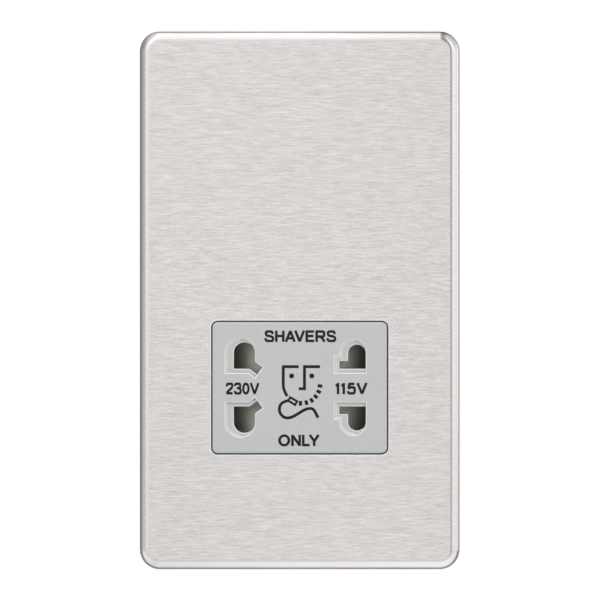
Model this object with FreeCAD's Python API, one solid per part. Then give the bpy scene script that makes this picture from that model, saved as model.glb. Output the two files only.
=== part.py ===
import FreeCAD, Part
import math
import os

os.makedirs("parts", exist_ok=True)

# A two-gang dual-voltage shaver socket. x runs to the right, y into the wall and z up.
# The origin is the middle of the wall plane, which the mounting frame rests on.

# Front plate, a steel pressing: its height is the foot, the insert and the blank field above it
plate_width = 88.0
plate_foot = 31.95
plate_blank = 79.95
plate_projection = 6.0
plate_sheet = 1.2
plate_corner_radius = 5.5
plate_edge_radius = 2.6
plate_wall_gap = 0.3
plate_frame_gap = 0.2
cutout_chamfer = 0.25
pry_notch_width = 10.0
pry_notch_depth = 1.2
stud_radius = 1.25
stud_length = 3.8
stud_inset = 8.0

# Socket insert
insert_width = 48.0
insert_height = 36.1
insert_corner_radius = 1.5
insert_edge_bevel = 0.4
insert_proud = 0.2
insert_gap = 0.33
slab_thickness = 2.9
tray_side_border = 7.4
tray_end_border = 2.95
tray_wall = 1.4
tray_depth = 7.2
tray_plate_gap = 0.1
flange_thickness = 1.2
flange_lip = 1.8
ear_width = 16.0
ear_overlap = 5.0
insert_screw_inset = 1.6

# Pin openings, measured outwards from the insert's mid height
opening_flat = 5.2
recess_depth = 0.8
recess_lip = 0.3
recess_flat = 4.1
round_pin_x = -15.2
round_pin_radius = 2.9
round_pin_rise = 9.55
round_recess_left = 2.4
round_recess_top = 1.05
angled_slot_width = 2.45
angled_slot_angle = 36.0
angled_slot_tip_x = -10.98
angled_slot_tip_rise = 4.61
angled_slot_margin = 1.0
flat_pin_x = 15.75
flat_pin_radius = 2.42
flat_pin_rise = 9.4
flat_recess_left = 2.2
flat_recess_top = 1.2
flat_slot_height = 2.1
flat_slot_reach = 2.4
flat_slot_margin = 1.25

# Shutter slider, one wedge for both pairs of openings
slider_gap = 0.3
slider_crown_half = 9.9
slider_slope_run = 8.9
slider_slope_depth = 5.4
slider_base = 1.2
slider_spine_half = 3.0
slider_core_wall = 1.2
slider_notch_depth = 1.1
slider_notch_half = 1.8
rail_thickness = 1.2
rail_end_gap = 2.0
rail_post_gap = 0.3
spring_pocket_radius = 2.2
spring_pocket_depth = 8.0
spring_radius = 1.75
spring_wire = 0.5
spring_turns = 6
spring_chords = 12
spring_peg_radius = 1.15
spring_peg_length = 2.0

# Contact carrier behind the slider
carrier_plate = 1.4
chamber_depth = 7.7
chamber_inner_x = 9.8
chamber_outer_x = 19.2
chamber_inner_rise = 3.6
chamber_outer_rise = 13.4
chamber_wall = 1.2
chamber_mouth_lip = 0.6
cover_thickness = 1.2
carrier_screw_inset = 4.0
post_wall_gap = 0.2
cover_screw_x = 5.6
post_half = 2.2

# Brass contacts and the switch leaves
contact_strip = 0.6
contact_height = 7.0
contact_rise = 8.8
contact_mouth = 5.6
contact_pinch = 3.6
contact_pinch_share = 0.4
contact_root = 4.6
contact_length = 7.2
tail_width = 2.0
tail_length = 4.5
tail_slot_gap = 0.2
leaf_thickness = 0.3
leaf_width = 3.2
leaf_gap = 0.7
leaf_reach = 11.0
leaf_overlap = 2.4
leaf_bump_half = 1.2

# Mounting frame
frame_rim = 1.6
frame_rim_gap = 0.3
floor_front = -2.2
floor_thickness = 1.7
ring_gap = 2.0
window_gap = 0.2
boss_half = 2.75
boss_bore_gap = 0.1
rib_thickness = 1.2
rib_drop = 0.4
rib_spacing = 48.0
rib_shares = (0.0, 0.36, 0.62)
insert_boss_half = 2.4
insert_boss_length = 3.5

# Fixings
fixing_margin = 13.7
fixing_radius = 1.75
fixing_neck_radius = 1.5
fixing_length = 20.0
fixing_head_radius = 3.2
fixing_head_height = 1.9
fixing_hole_radius = 2.1
fixing_slot_length = 7.0
screw_clearance = 0.1
housing_screw_radius = 1.5
housing_screw_length = 12.0
housing_screw_head = 2.4
housing_screw_head_height = 1.6
small_screw_radius = 1.2
small_screw_head = 2.1
small_screw_head_height = 1.2
small_screw_length = 7.0
insert_screw_length = 6.0
cover_screw_length = 6.0

# Rear housing
housing_tray_gap = 0.8
housing_end_gap = 0.4
housing_radius = 3.5
housing_wall = 1.8
housing_low_depth = 29.0
housing_step_gap = 8.25
housing_boss_radius = 2.9
housing_boss_length = 14.0
housing_screw_inset = 3.6
vent_width = 2.0
vent_length = 28.0
vent_pitch = 6.0
vent_count = 5
side_vent_length = 14.0
side_vent_count = 4

# Transformer, an EI core with the centre leg along z
core_stack = 18.0
core_top_gap = 3.45
coil_front_gap = 3.7
core_post = 7.2
core_post_radius = 3.2
core_hole_radius = 1.7
core_screw_radius = 1.5
core_screw_head = 2.75
core_screw_head_height = 2.0
core_screw_bite = 6.0
screw_end_gap = 0.5
bobbin_wall = 0.9
bobbin_flange = 1.0
bobbin_gap = 0.1
winding_build = 5.0
flange_overhang = 0.8
cutout_width = 6.0
cutout_gap = 1.3
cutout_shift = 2.25
cutout_pad_share = 0.67
cutout_depth = 8.0
cutout_height = 15.0

# Terminal block in a recess at the housing's lower rear edge
block_side_wall = 3.0
block_height = 13.0
block_depth = 11.5
block_gap = 0.15
block_wall = 1.2
terminal_pitch = 13.0
tunnel_width = 8.0
tunnel_depth = 7.6
tunnel_height = 10.0
tunnel_gap = 0.1
wire_bore_radius = 1.8
wire_bore_wall = 1.2
lead_way = 2.8
pole_slot_width = 1.2
pole_slot_depth = 2.0
terminal_screw_radius = 1.75
terminal_screw_head = 2.6
terminal_screw_head_height = 1.8
terminal_screw_length = 3.6

# Earth spring between the frame and the steel plate
earth_strip = 0.4
earth_width = 6.0
earth_foot = 7.0
earth_run = 1.5
earth_pitch = 8.6
earth_screw_length = 5.5

# The layout across the plate, which follows from the sizes above
plate_height = plate_foot + insert_height + plate_blank
insert_z = plate_foot + insert_height / 2 - plate_height / 2
tray_width = insert_width + 2 * tray_side_border
tray_height = insert_height + 2 * tray_end_border
tray_inner_half = tray_width / 2 - tray_wall
ear_height = tray_height + 2 * ear_overlap
insert_screw_rise = ear_height / 2 - insert_screw_inset
carrier_screw_x = tray_inner_half - carrier_screw_inset
carrier_screw_rise = tray_height / 2 - tray_wall - post_wall_gap - post_half
slider_half_height = carrier_screw_rise - post_half - rail_post_gap - rail_thickness - slider_gap
slider_half = slider_crown_half + slider_slope_run
rail_length = 2 * (tray_inner_half - rail_end_gap)
frame_width = plate_width - 2 * (plate_sheet + plate_frame_gap)
frame_height = plate_height - 2 * (plate_sheet + plate_frame_gap)
frame_radius = plate_corner_radius - plate_sheet
stud_x = plate_width / 2 - stud_inset
stud_z = plate_height / 2 - stud_inset
fixing_spacing = plate_height - 2 * fixing_margin
housing_width = tray_width + 2 * (housing_tray_gap + housing_wall)
housing_half_height = insert_screw_rise - insert_z + insert_boss_half + housing_end_gap + housing_wall
housing_height = 2 * housing_half_height
housing_screw_x = housing_width / 2 - housing_screw_inset
housing_screw_z = housing_height / 2 - housing_screw_inset
ring_width = housing_width + 2 * ring_gap
ring_height = housing_height + 2 * ring_gap
earth_z = insert_z + insert_screw_rise + earth_pitch

# The core fills the housing's width beside the thermal cut-out, and hangs from its top
leg = (housing_width / 2 - housing_wall - cutout_gap - cutout_width) / 1.5
core_width = 3.0 * leg
core_height = 2.5 * leg
window_height = 1.5 * leg
window_width = 0.5 * leg
core_z = housing_height / 2 - housing_wall - core_top_gap - core_height / 2
housing_step_z = core_z - core_height / 2 - housing_step_gap
block_width = 2 * (terminal_pitch + block_side_wall) + tunnel_width
block_top = block_height + block_gap - housing_height / 2
tunnel_top = block_top - block_gap - block_wall

# Depths
plate_front = -plate_projection
plate_back = plate_front + plate_sheet
skirt_back = -plate_wall_gap
slab_front = plate_front - insert_proud
slab_back = slab_front + slab_thickness
shoulder_front = plate_back + tray_plate_gap
tray_back = slab_back + tray_depth
floor_back = floor_front + floor_thickness
flange_front = floor_front - flange_thickness
rim_front = plate_back + frame_rim_gap
insert_boss_back = floor_back + insert_boss_length
housing_boss_back = floor_back + housing_boss_length
slider_front = slab_back + slider_gap
slider_back = slider_front + slider_slope_depth + slider_base
slider_mid = (slider_front + slider_back) / 2
carrier_back = tray_back + carrier_plate
chamber_back = carrier_back + chamber_depth
cover_back = chamber_back + cover_thickness
housing_low_back = floor_back + housing_low_depth
core_front = floor_back + coil_front_gap + flange_overhang + winding_build + bobbin_wall + bobbin_gap
core_back = core_front + core_stack
housing_back = core_back + core_post + housing_wall
block_front = housing_low_back - block_depth - block_gap
tunnel_front = block_front + block_wall
bore_y = tunnel_front + wire_bore_wall + wire_bore_radius
tunnel_back = tunnel_front + tunnel_depth

# Clearance holes
small_hole_radius = small_screw_radius + screw_clearance
housing_hole_radius = housing_screw_radius + screw_clearance

# Both sides of a mirror plane, and how far a cutter runs past the face that it opens
sides = (-1, 1)
overlap = 1.0


def vec(x, y, z):
    return FreeCAD.Vector(x, y, z)


def block(x, y, z):
    # A box between two corners given as (low, high) pairs
    return Part.makeBox(x[1] - x[0], y[1] - y[0], z[1] - z[0], vec(x[0], y[0], z[0]))


def runs_along_y(edge):
    first, last = edge.Vertexes[0].Point, edge.Vertexes[-1].Point
    return abs(abs(first.y - last.y) - edge.Length) < 1e-6


def rounded(width, height, radius, front, back, x=0.0, z=0.0):
    # A block with its four edges along y rounded
    solid = block((x - width / 2, x + width / 2), (front, back), (z - height / 2, z + height / 2))
    return solid.makeFillet(radius, [e for e in solid.Edges if runs_along_y(e)])


def rod(radius, front, back, x, z):
    # A cylinder along y
    return Part.makeCylinder(radius, back - front, vec(x, front, z), vec(0, 1, 0))


def post(x, z, half, front, back):
    # A square post along y
    return block((x - half, x + half), (front, back), (z - half, z + half))


def extruded(points, direction):
    return Part.Face(Part.makePolygon(points + points[:1])).extrude(direction)


def edges_at(solid, y, half_width=1e3, half_height=1e3, z=0.0):
    # The edges that lie in the plane at this depth, inside a window round (0, z)
    found = []
    for edge in solid.Edges:
        box = edge.BoundBox
        flat = abs(box.YMin - y) < 1e-4 and abs(box.YMax - y) < 1e-4
        wide = max(abs(box.XMin), abs(box.XMax)) <= half_width
        tall = max(abs(box.ZMin - z), abs(box.ZMax - z)) <= half_height
        if flat and wide and tall:
            found.append(edge)
    return found


def below(shape):
    # The same shape mirrored about the insert's mid height
    return shape.mirror(vec(0, 0, insert_z), vec(0, 0, 1))


def export(name, shapes):
    solids = [solid for shape in shapes for solid in shape.Solids]
    bad = [solid for solid in solids if not solid.isValid()]
    whole = solids[0] if len(solids) == 1 else Part.makeCompound(solids)
    whole.exportStep(os.path.join("parts", name + ".step"))
    print(name, len(solids), "solids", round(whole.Volume, 1), "invalid" if bad else "")


def screw(head_radius, head_height, radius, length, seat, x, z, toward=1):
    # A screw along y whose head rests on the plane y = seat, the shank toward +y or -y
    front, back = sorted((seat, seat - toward * head_height))
    head = rod(head_radius, front, back, x, z)
    start, end = sorted((seat, seat + toward * length))
    return head.fuse(rod(radius, start, end, x, z)).removeSplitter()


# Front plate


def front_plate():
    plate = rounded(plate_width, plate_height, plate_corner_radius, plate_front, skirt_back)
    plate = plate.makeFillet(plate_edge_radius, edges_at(plate, plate_front))
    hollow = rounded(
        plate_width - 2 * plate_sheet, plate_height - 2 * plate_sheet,
        plate_corner_radius - plate_sheet, plate_back, skirt_back,
    )
    hollow = hollow.makeChamfer(plate_edge_radius - plate_sheet, edges_at(hollow, plate_back))
    width, height = insert_width + 2 * insert_gap, insert_height + 2 * insert_gap
    cutout = rounded(width, height, insert_corner_radius + insert_gap, plate_front, plate_back, z=insert_z)
    notch = block(
        (-pry_notch_width / 2, pry_notch_width / 2), (skirt_back - pry_notch_depth, skirt_back),
        (-plate_height / 2, -plate_height / 2 + 2 * plate_sheet),
    )
    plate = plate.cut([hollow, cutout, notch])
    rim = edges_at(plate, plate_front, width / 2 + 0.01, height / 2 + 0.01, insert_z)
    return plate.makeChamfer(cutout_chamfer, rim)


def plate_stud(x, z):
    return rod(stud_radius, plate_back, plate_back + stud_length, x, z)


# Mounting frame


def frame_shell():
    shell = rounded(frame_width, frame_height, frame_radius, rim_front, 0.0)
    shell = shell.makeChamfer(plate_edge_radius - plate_sheet, edges_at(shell, rim_front))
    width, height = frame_width - 2 * frame_rim, frame_height - 2 * frame_rim
    inside = rounded(width, height, frame_radius - frame_rim, rim_front, floor_front)
    ring = block((-ring_width / 2, ring_width / 2), (floor_back, 0), (-ring_height / 2, ring_height / 2))
    window = block(
        (-tray_width / 2 - window_gap, tray_width / 2 + window_gap), (rim_front, 0),
        (insert_z - tray_height / 2 - window_gap, insert_z + tray_height / 2 + window_gap),
    )
    return shell.cut([inside, ring, window])


def frame_ribs():
    # A grid on the floor above the insert, standing a little below the plate
    top = frame_height / 2 - frame_rim
    foot = insert_z + ear_height / 2 + 2 * rib_thickness
    front = plate_back + rib_drop
    half = frame_width / 2 - frame_rim
    ribs = []
    for side in sides:
        x = side * rib_spacing / 2
        ribs.append(block((x - rib_thickness / 2, x + rib_thickness / 2), (front, floor_front), (foot, top)))
    for z in (foot + (top - foot) * share for share in rib_shares):
        ribs.append(block((-half, half), (front, floor_front), (z, z + rib_thickness)))
    return ribs


def mounting_frame():
    added = frame_ribs()
    for x, z in corners(stud_x, stud_z):
        added.append(post(x, z, boss_half, plate_back, floor_front))
    for x, z in insert_screws_at():
        added.append(post(x, z, insert_boss_half, floor_back, insert_boss_back))
    frame = frame_shell().fuse(added)

    bore = stud_radius + boss_bore_gap
    holes = [rod(bore, plate_back, floor_back, x, z) for x, z in corners(stud_x, stud_z)]
    holes.append(rod(fixing_hole_radius, floor_front, 0, 0, fixing_spacing / 2))
    holes.append(level_slot())
    for x, z in insert_screws_at():
        holes.append(rod(small_hole_radius, floor_front, insert_boss_back, x, z))
    for x, z in corners(housing_screw_x, housing_screw_z):
        holes.append(rod(housing_hole_radius, floor_front, floor_back, x, z))
    holes.append(rod(small_hole_radius, floor_front, floor_back, 0, earth_z))
    return frame.cut(holes).removeSplitter()


def level_slot():
    # The lower fixing hole is a slot along x, for levelling the unit
    z = -fixing_spacing / 2
    half = fixing_slot_length / 2 - fixing_hole_radius
    middle = block((-half, half), (floor_front, 0), (z - fixing_hole_radius, z + fixing_hole_radius))
    ends = [rod(fixing_hole_radius, floor_front, 0, side * half, z) for side in sides]
    return middle.fuse(ends).removeSplitter()


def corners(x, z):
    return [(i * x, j * z) for i in sides for j in sides]


def insert_screws_at():
    return [(0, insert_z + side * insert_screw_rise) for side in sides]


# Socket insert


def arch(x, radius, flat, rise, front, back):
    # A D-shaped prism standing on its flat, round at the top
    z = insert_z
    body = block((x - radius, x + radius), (front, back), (z + flat, z + rise))
    return body.fuse(rod(radius, front, back, x, z + rise)).removeSplitter()


def angled_slot(width, front, back):
    # The blade slot that runs down and inwards from the round pin's opening
    angle = math.radians(angled_slot_angle)
    along = vec(math.cos(angle), 0, -math.sin(angle))
    across = vec(math.sin(angle), 0, math.cos(angle))
    tip = vec(angled_slot_tip_x, front, insert_z + angled_slot_tip_rise)
    root = tip - along * (angled_slot_tip_x - round_pin_x)
    half = across * (width / 2)
    return extruded([tip + half, tip - half, root - half, root + half], vec(0, back - front, 0))


def round_opening(front, back):
    hole = arch(round_pin_x, round_pin_radius, opening_flat, round_pin_rise, front, back)
    return hole.fuse(angled_slot(angled_slot_width, front, back)).removeSplitter()


def flat_opening(front, back):
    # The round pin's arch with a level blade slot toward the insert's middle
    hole = arch(flat_pin_x, flat_pin_radius, opening_flat, flat_pin_rise, front, back)
    left, right = flat_pin_x - flat_pin_radius - flat_slot_reach, flat_pin_x + flat_pin_radius
    low = insert_z + opening_flat
    return hole.fuse(block((left, right), (front, back), (low, low + flat_slot_height))).removeSplitter()


def recess_arch(x, radius, rise, left, top, front, back):
    # The recess round an opening: wider on its left and top, level with it on its right
    radius_out = radius + left / 2
    height = rise + radius + top - radius_out
    return arch(x - left / 2, radius_out, recess_flat, height, front, back)


def round_recess(front, back):
    recess = recess_arch(
        round_pin_x, round_pin_radius, round_pin_rise, round_recess_left, round_recess_top, front, back
    )
    apron = angled_slot(angled_slot_width + 2 * angled_slot_margin, front, back)
    keep = round_pin_x + round_pin_radius
    low = block((round_pin_x - round_pin_radius, 0), (front, back), (insert_z, insert_z + opening_flat))
    apron = apron.common(low)
    trim = block((keep, 0), (front, back), (insert_z + opening_flat, insert_z + chamber_outer_rise))
    return recess.fuse(apron).cut(trim).removeSplitter()


def flat_recess(front, back):
    recess = recess_arch(
        flat_pin_x, flat_pin_radius, flat_pin_rise, flat_recess_left, flat_recess_top, front, back
    )
    left = flat_pin_x - flat_pin_radius - flat_slot_reach - flat_slot_margin
    right = flat_pin_x + flat_pin_radius
    low, high = insert_z + recess_flat, insert_z + opening_flat + flat_slot_height + flat_slot_margin
    return recess.fuse(block((left, right), (front, back), (low, high))).removeSplitter()


def pin_openings():
    # Each opening with its shallow recess, whose lip flares out to the front face
    cutters = []
    for opening, recess in ((round_opening, round_recess), (flat_opening, flat_recess)):
        hole = opening(slab_front, slab_back)
        step = recess(slab_front, slab_front + recess_depth)
        cutters.append(hole.fuse(step).removeSplitter())
    return cutters + [below(cutter) for cutter in cutters]


def insert_tray():
    tray = rounded(tray_width, tray_height, insert_corner_radius, shoulder_front, tray_back, z=insert_z)
    half_w, half_h = tray_width / 2 + flange_lip, tray_height / 2 + flange_lip
    flange = (flange_front, floor_front)
    lips = block((-half_w, half_w), flange, (insert_z - half_h, insert_z + half_h))
    ears = block(
        (-ear_width / 2, ear_width / 2), flange, (insert_z - ear_height / 2, insert_z + ear_height / 2)
    )
    inside = block(
        (-tray_inner_half, tray_inner_half), (slab_back, tray_back),
        (insert_z - tray_height / 2 + tray_wall, insert_z + tray_height / 2 - tray_wall),
    )
    return tray.fuse([lips, ears]).cut(inside)


def insert_inside():
    # Slider rails, spring pegs and posts for the carrier's screws
    inner, outer = slider_half_height + slider_gap, slider_half_height + slider_gap + rail_thickness
    parts = []
    for side in sides:
        rise = sorted((side * inner, side * outer))
        parts.append(block(
            (-rail_length / 2, rail_length / 2), (slab_back, tray_back),
            (insert_z + rise[0], insert_z + rise[1]),
        ))
        peg = vec(side * tray_inner_half, slider_mid, insert_z)
        parts.append(Part.makeCylinder(spring_peg_radius, spring_peg_length, peg, vec(-side, 0, 0)))
    for x, z in carrier_screws_at():
        parts.append(post(x, z, post_half, slab_back, tray_back))
    return parts


def carrier_screws_at():
    return [(side * carrier_screw_x, insert_z - side * carrier_screw_rise) for side in sides]


def socket_insert():
    slab = rounded(insert_width, insert_height, insert_corner_radius, slab_front, slab_back, z=insert_z)
    slab = slab.makeChamfer(insert_edge_bevel, edges_at(slab, slab_front))
    body = insert_tray().fuse([slab] + insert_inside())
    holes = pin_openings()
    for x, z in carrier_screws_at():
        holes.append(rod(small_hole_radius, tray_back - small_screw_length, tray_back, x, z))
    for x, z in insert_screws_at():
        holes.append(rod(small_hole_radius, flange_front, floor_front, x, z))
    body = body.cut(holes).removeSplitter()
    half_w, half_h = insert_width / 2 - 2 * insert_edge_bevel, insert_height / 2 - 2 * insert_edge_bevel
    return body.makeChamfer(recess_lip, edges_at(body, slab_front, half_w, half_h, insert_z))


# Shutter slider and its springs


def shutter_slider():
    low, high = insert_z - slider_half_height, insert_z + slider_half_height
    slope_end = slider_front + slider_slope_depth
    outline = [
        (-slider_half, slope_end), (-slider_crown_half, slider_front), (slider_crown_half, slider_front),
        (slider_half, slope_end), (slider_half, slider_back), (-slider_half, slider_back),
    ]
    wedge = extruded([vec(x, y, low) for x, y in outline], vec(0, 0, high - low))
    spine = block(
        (-slider_half, slider_half), (slider_front, slider_back),
        (insert_z - slider_spine_half, insert_z + slider_spine_half),
    )
    notch = extruded(
        [
            vec(-slider_notch_half, slider_back, insert_z - slider_spine_half),
            vec(0, slider_back - slider_notch_depth, insert_z - slider_spine_half),
            vec(slider_notch_half, slider_back, insert_z - slider_spine_half),
        ],
        vec(0, 0, 2 * slider_spine_half),
    )
    holes = [notch]
    for side in sides:
        start = vec(side * slider_half, slider_mid, insert_z)
        holes.append(Part.makeCylinder(spring_pocket_radius, spring_pocket_depth, start, vec(-side, 0, 0)))
        for half in sides:
            holes.append(slider_core(side, half))
    return wedge.fuse(spine).cut(holes).removeSplitter()


def slider_core(side, half):
    # One of the four cored pockets in the wedge's back
    wall = slider_core_wall
    x = sorted((side * wall / 2, side * (slider_crown_half - wall)))
    rise = sorted((half * (slider_spine_half + wall), half * (slider_half_height - wall)))
    return block(x, (slider_front + wall, slider_back), (insert_z + rise[0], insert_z + rise[1]))


def shutter_spring(side):
    # Square wire wound along x between the pocket's bottom and the tray's wall, in straight chords
    start = slider_half - spring_pocket_depth
    length = tray_inner_half - start
    rings = []
    for i in range(spring_turns * spring_chords + 1):
        turn = 2 * math.pi * i / spring_chords
        x = start + spring_wire / 2 + (length - spring_wire) * i / (spring_turns * spring_chords)
        rings.append(spring_section(side, x, turn))
    faces = []
    for near, far in zip(rings, rings[1:]):
        for i in range(4):
            j = (i + 1) % 4
            faces.append(triangle(near[i], near[j], far[j]))
            faces.append(triangle(near[i], far[j], far[i]))
    for ring in (rings[0], rings[-1]):
        faces += [triangle(ring[0], ring[1], ring[2]), triangle(ring[0], ring[2], ring[3])]
    coil = Part.Solid(Part.Shell(faces))
    if coil.Volume < 0:
        coil.reverse()
    return coil


def triangle(a, b, c):
    return Part.Face(Part.makePolygon([a, b, c, a]))


def spring_section(side, x, turn):
    # The wire's four corners where the winding has turned this far
    corners_at = []
    half = spring_wire / 2
    for along, out in ((-half, -half), (half, -half), (half, half), (-half, half)):
        reach = spring_radius + out
        corners_at.append(vec(
            side * (x + along), slider_mid + reach * math.cos(turn), insert_z + reach * math.sin(turn)
        ))
    return corners_at


# Contact carrier, contacts and switch leaves


def chamber(side, half, grow, front, back):
    x = sorted((side * (chamber_inner_x - grow), side * (chamber_outer_x + grow)))
    rise = sorted((half * (chamber_inner_rise - grow), half * (chamber_outer_rise + grow)))
    return block(x, (front, back), (insert_z + rise[0], insert_z + rise[1]))


def contact_carrier():
    parts = [rounded(tray_width, tray_height, insert_corner_radius, tray_back, carrier_back, z=insert_z)]
    holes = []
    for side in sides:
        for half in sides:
            parts.append(chamber(side, half, chamber_wall, carrier_back, chamber_back))
            holes.append(chamber(side, half, 0, carrier_back, chamber_back))
            holes.append(chamber(side, half, -chamber_mouth_lip, tray_back, carrier_back))
        parts.append(post(side * cover_screw_x, insert_z, post_half, carrier_back, chamber_back))
        holes.append(rod(
            small_hole_radius, chamber_back - cover_screw_length, chamber_back,
            side * cover_screw_x, insert_z,
        ))
    parts.append(leaf_pad())
    holes.append(block(
        (-leaf_width / 2 - 2 * slider_gap, leaf_width / 2 + 2 * slider_gap), (tray_back, carrier_back),
        (insert_z - slider_spine_half, insert_z + slider_spine_half),
    ))
    for x, z in carrier_screws_at():
        holes.append(rod(small_hole_radius, tray_back, carrier_back, x, z))
    return parts[0].fuse(parts[1:]).cut(holes).removeSplitter()


def leaf_pad():
    # The raised seat of the fixed leaf, below the window in the carrier's plate
    top = insert_z - slider_spine_half - 2 * slider_gap
    return block(
        (-leaf_width / 2, leaf_width / 2), (carrier_back, carrier_back + leaf_thickness + leaf_gap),
        (insert_z - leaf_reach, top),
    )


def tail(x, z, front, width_x, width_z):
    # A solder tail that runs back through the cover
    back = cover_back + tail_length
    return block((x - width_x / 2, x + width_x / 2), (front, back), (z - width_z / 2, z + width_z / 2))


def carrier_cover():
    width, height = chamber_outer_x + chamber_wall, chamber_outer_rise + chamber_wall
    cover = block((-width, width), (chamber_back, cover_back), (insert_z - height, insert_z + height))
    holes, gap = [], 2 * tail_slot_gap
    for side in sides:
        x = side * cover_screw_x
        holes.append(rod(small_hole_radius, chamber_back, cover_back, x, insert_z))
        for half in sides:
            x, z = contact_x(side), insert_z + half * contact_rise
            holes.append(tail(x, z, chamber_back, contact_strip + gap, tail_width + gap))
        z = insert_z + side * (leaf_reach - leaf_thickness / 2)
        holes.append(tail(0, z, chamber_back, tail_width + gap, leaf_thickness + gap))
    return cover.cut(holes)


def contact_x(side):
    return round_pin_x if side < 0 else flat_pin_x


def contact(side, half):
    # A clip with two sprung arms that pinch the pin, flared at the mouth
    x, strip = contact_x(side), contact_strip
    base = chamber_back
    front = base - contact_length
    pinch = front + contact_pinch_share * contact_length
    inner = [
        (contact_mouth / 2, front), (contact_pinch / 2, pinch), (contact_root / 2, base - 2 * strip),
        (contact_root / 2, base - strip),
    ]
    outer = [(w + strip, y) for w, y in inner[:-1]] + [(contact_root / 2 + strip, base)]
    profile = [(w, y) for w, y in inner[::-1]] + outer
    loop = [(x + w, y) for w, y in profile] + [(x - w, y) for w, y in profile[::-1]]
    low = insert_z + half * contact_rise - contact_height / 2
    clip = extruded([vec(px, py, low) for px, py in loop], vec(0, 0, contact_height))
    lug = tail(x, insert_z + half * contact_rise, base - strip, strip, tail_width)
    return clip.fuse(lug).removeSplitter()


def leaf(half, front):
    # A flat strip along z with its tail turned back through the cover
    back = front + leaf_thickness
    rise = sorted((-half * leaf_overlap, half * leaf_reach))
    low, high = insert_z + rise[0], insert_z + rise[1]
    strip = block((-leaf_width / 2, leaf_width / 2), (front, back), (low, high))
    end = insert_z + half * (leaf_reach - leaf_thickness / 2)
    return strip.fuse(tail(0, end, front, tail_width, leaf_thickness))


def switch_leaf_moving():
    # Its bump stands in the notch of the slider and is pushed back when the slider moves
    tip = slider_back - slider_notch_depth + slider_gap
    low, high = insert_z - leaf_width / 2, insert_z + leaf_width / 2
    bump = extruded(
        [vec(-leaf_bump_half, carrier_back, low), vec(0, tip, low), vec(leaf_bump_half, carrier_back, low)],
        vec(0, 0, high - low),
    )
    return leaf(1, carrier_back).fuse(bump).removeSplitter()


def switch_leaf_fixed():
    return leaf(-1, carrier_back + leaf_thickness + leaf_gap).removeSplitter()


# Rear housing


def housing_body(inset, front, low_back, high_back):
    # The deep upper box and the shallow lower box, drawn in by the wall
    width, height = housing_width - 2 * inset, housing_height - 2 * inset
    radius = housing_radius - inset
    whole = rounded(width, height, radius, front, high_back)
    rise = (-housing_height, housing_step_z + inset)
    step = block((-housing_width, housing_width), (low_back, high_back + overlap), rise)
    return whole.cut(step)


def terminal_recess(grow):
    half = block_width / 2 + block_gap + grow
    return block(
        (-half, half), (block_front - grow, housing_low_back + overlap),
        (-housing_height / 2 - overlap, block_top + grow),
    )


def housing_vents():
    back = (housing_back - housing_wall - overlap, housing_back + overlap)
    vents = []
    for i in range(vent_count):
        z = core_z + (i - (vent_count - 1) / 2) * vent_pitch
        rise = (z - vent_width / 2, z + vent_width / 2)
        vents.append(block((-vent_length / 2, vent_length / 2), back, rise))
    middle = (core_front + core_back) / 2
    for i in range(side_vent_count):
        z = core_z + (i - (side_vent_count - 1) / 2) * vent_pitch
        y = (middle - side_vent_length / 2, middle + side_vent_length / 2)
        x = (-housing_width / 2 - overlap, -housing_width / 2 + housing_wall + overlap)
        vents.append(block(x, y, (z - vent_width / 2, z + vent_width / 2)))
    return vents


def core_screws_at():
    return [(i * (core_width - window_width) / 2, core_z + j * leg) for i in sides for j in sides]


def housing_posts():
    posts = []
    for x, z in corners(housing_screw_x, housing_screw_z):
        posts.append(rod(housing_boss_radius, floor_back, housing_boss_back, x, z))
    for x, z in core_screws_at():
        posts.append(rod(core_post_radius, core_back, housing_back - housing_wall, x, z))
    inner = housing_width / 2 - housing_wall
    middle = (core_front + core_back) / 2 - cutout_shift
    half_y, half_z = cutout_pad_share * cutout_depth / 2, cutout_pad_share * cutout_height / 2
    outer = core_width / 2 + cutout_width
    rise = (core_z - half_z, core_z + half_z)
    posts.append(block((outer, inner), (middle - half_y, middle + half_y), rise))
    return posts


def rear_housing():
    outside = housing_body(0, floor_back, housing_low_back, housing_back)
    wall = housing_wall
    inside = housing_body(wall, floor_back, housing_low_back - wall, housing_back - wall)
    inside = inside.cut(terminal_recess(wall))
    shell = outside.cut(inside).cut(terminal_recess(0))
    holes = housing_vents()
    for x, z in corners(housing_screw_x, housing_screw_z):
        holes.append(rod(housing_hole_radius, floor_back, housing_boss_back, x, z))
    hole_end = core_back + core_screw_bite + screw_end_gap
    for x, z in core_screws_at():
        holes.append(rod(core_screw_radius + screw_clearance, core_back, hole_end, x, z))
    for i in (-1, 0, 1):
        holes.append(lead_hole(i * terminal_pitch, block_top - overlap, block_top + housing_wall + overlap))
    return shell.fuse(housing_posts()).cut(holes).removeSplitter()


def lead_hole(x, low, high):
    # A square way for the inner lead from the top of a terminal
    half = lead_way / 2
    return block((x - half, x + half), (bore_y - half, bore_y + half), (low, high))


# Transformer


def transformer_core():
    low, high = core_z - core_height / 2, core_z + core_height / 2
    core = block((-core_width / 2, core_width / 2), (core_front, core_back), (low, high))
    holes = []
    for side in sides:
        x = sorted((side * leg / 2, side * (leg / 2 + window_width)))
        rise = (core_z - window_height / 2, core_z + window_height / 2)
        holes.append(block(x, (core_front, core_back), rise))
    for x, z in core_screws_at():
        holes.append(rod(core_hole_radius, core_front, core_back, x, z))
    return core.cut(holes)


def coil_block(grow_x, grow_y, low, high, radius=0.0):
    # A block round the centre leg, grown on all four sides
    half_x, middle = leg / 2 + grow_x, (core_front + core_back) / 2
    half_y = core_stack / 2 + grow_y
    solid = block((-half_x, half_x), (middle - half_y, middle + half_y), (low, high))
    if radius:
        upright = [e for e in solid.Edges if abs(e.BoundBox.ZLength - (high - low)) < 1e-6]
        solid = solid.makeFillet(radius, upright)
    return solid


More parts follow.
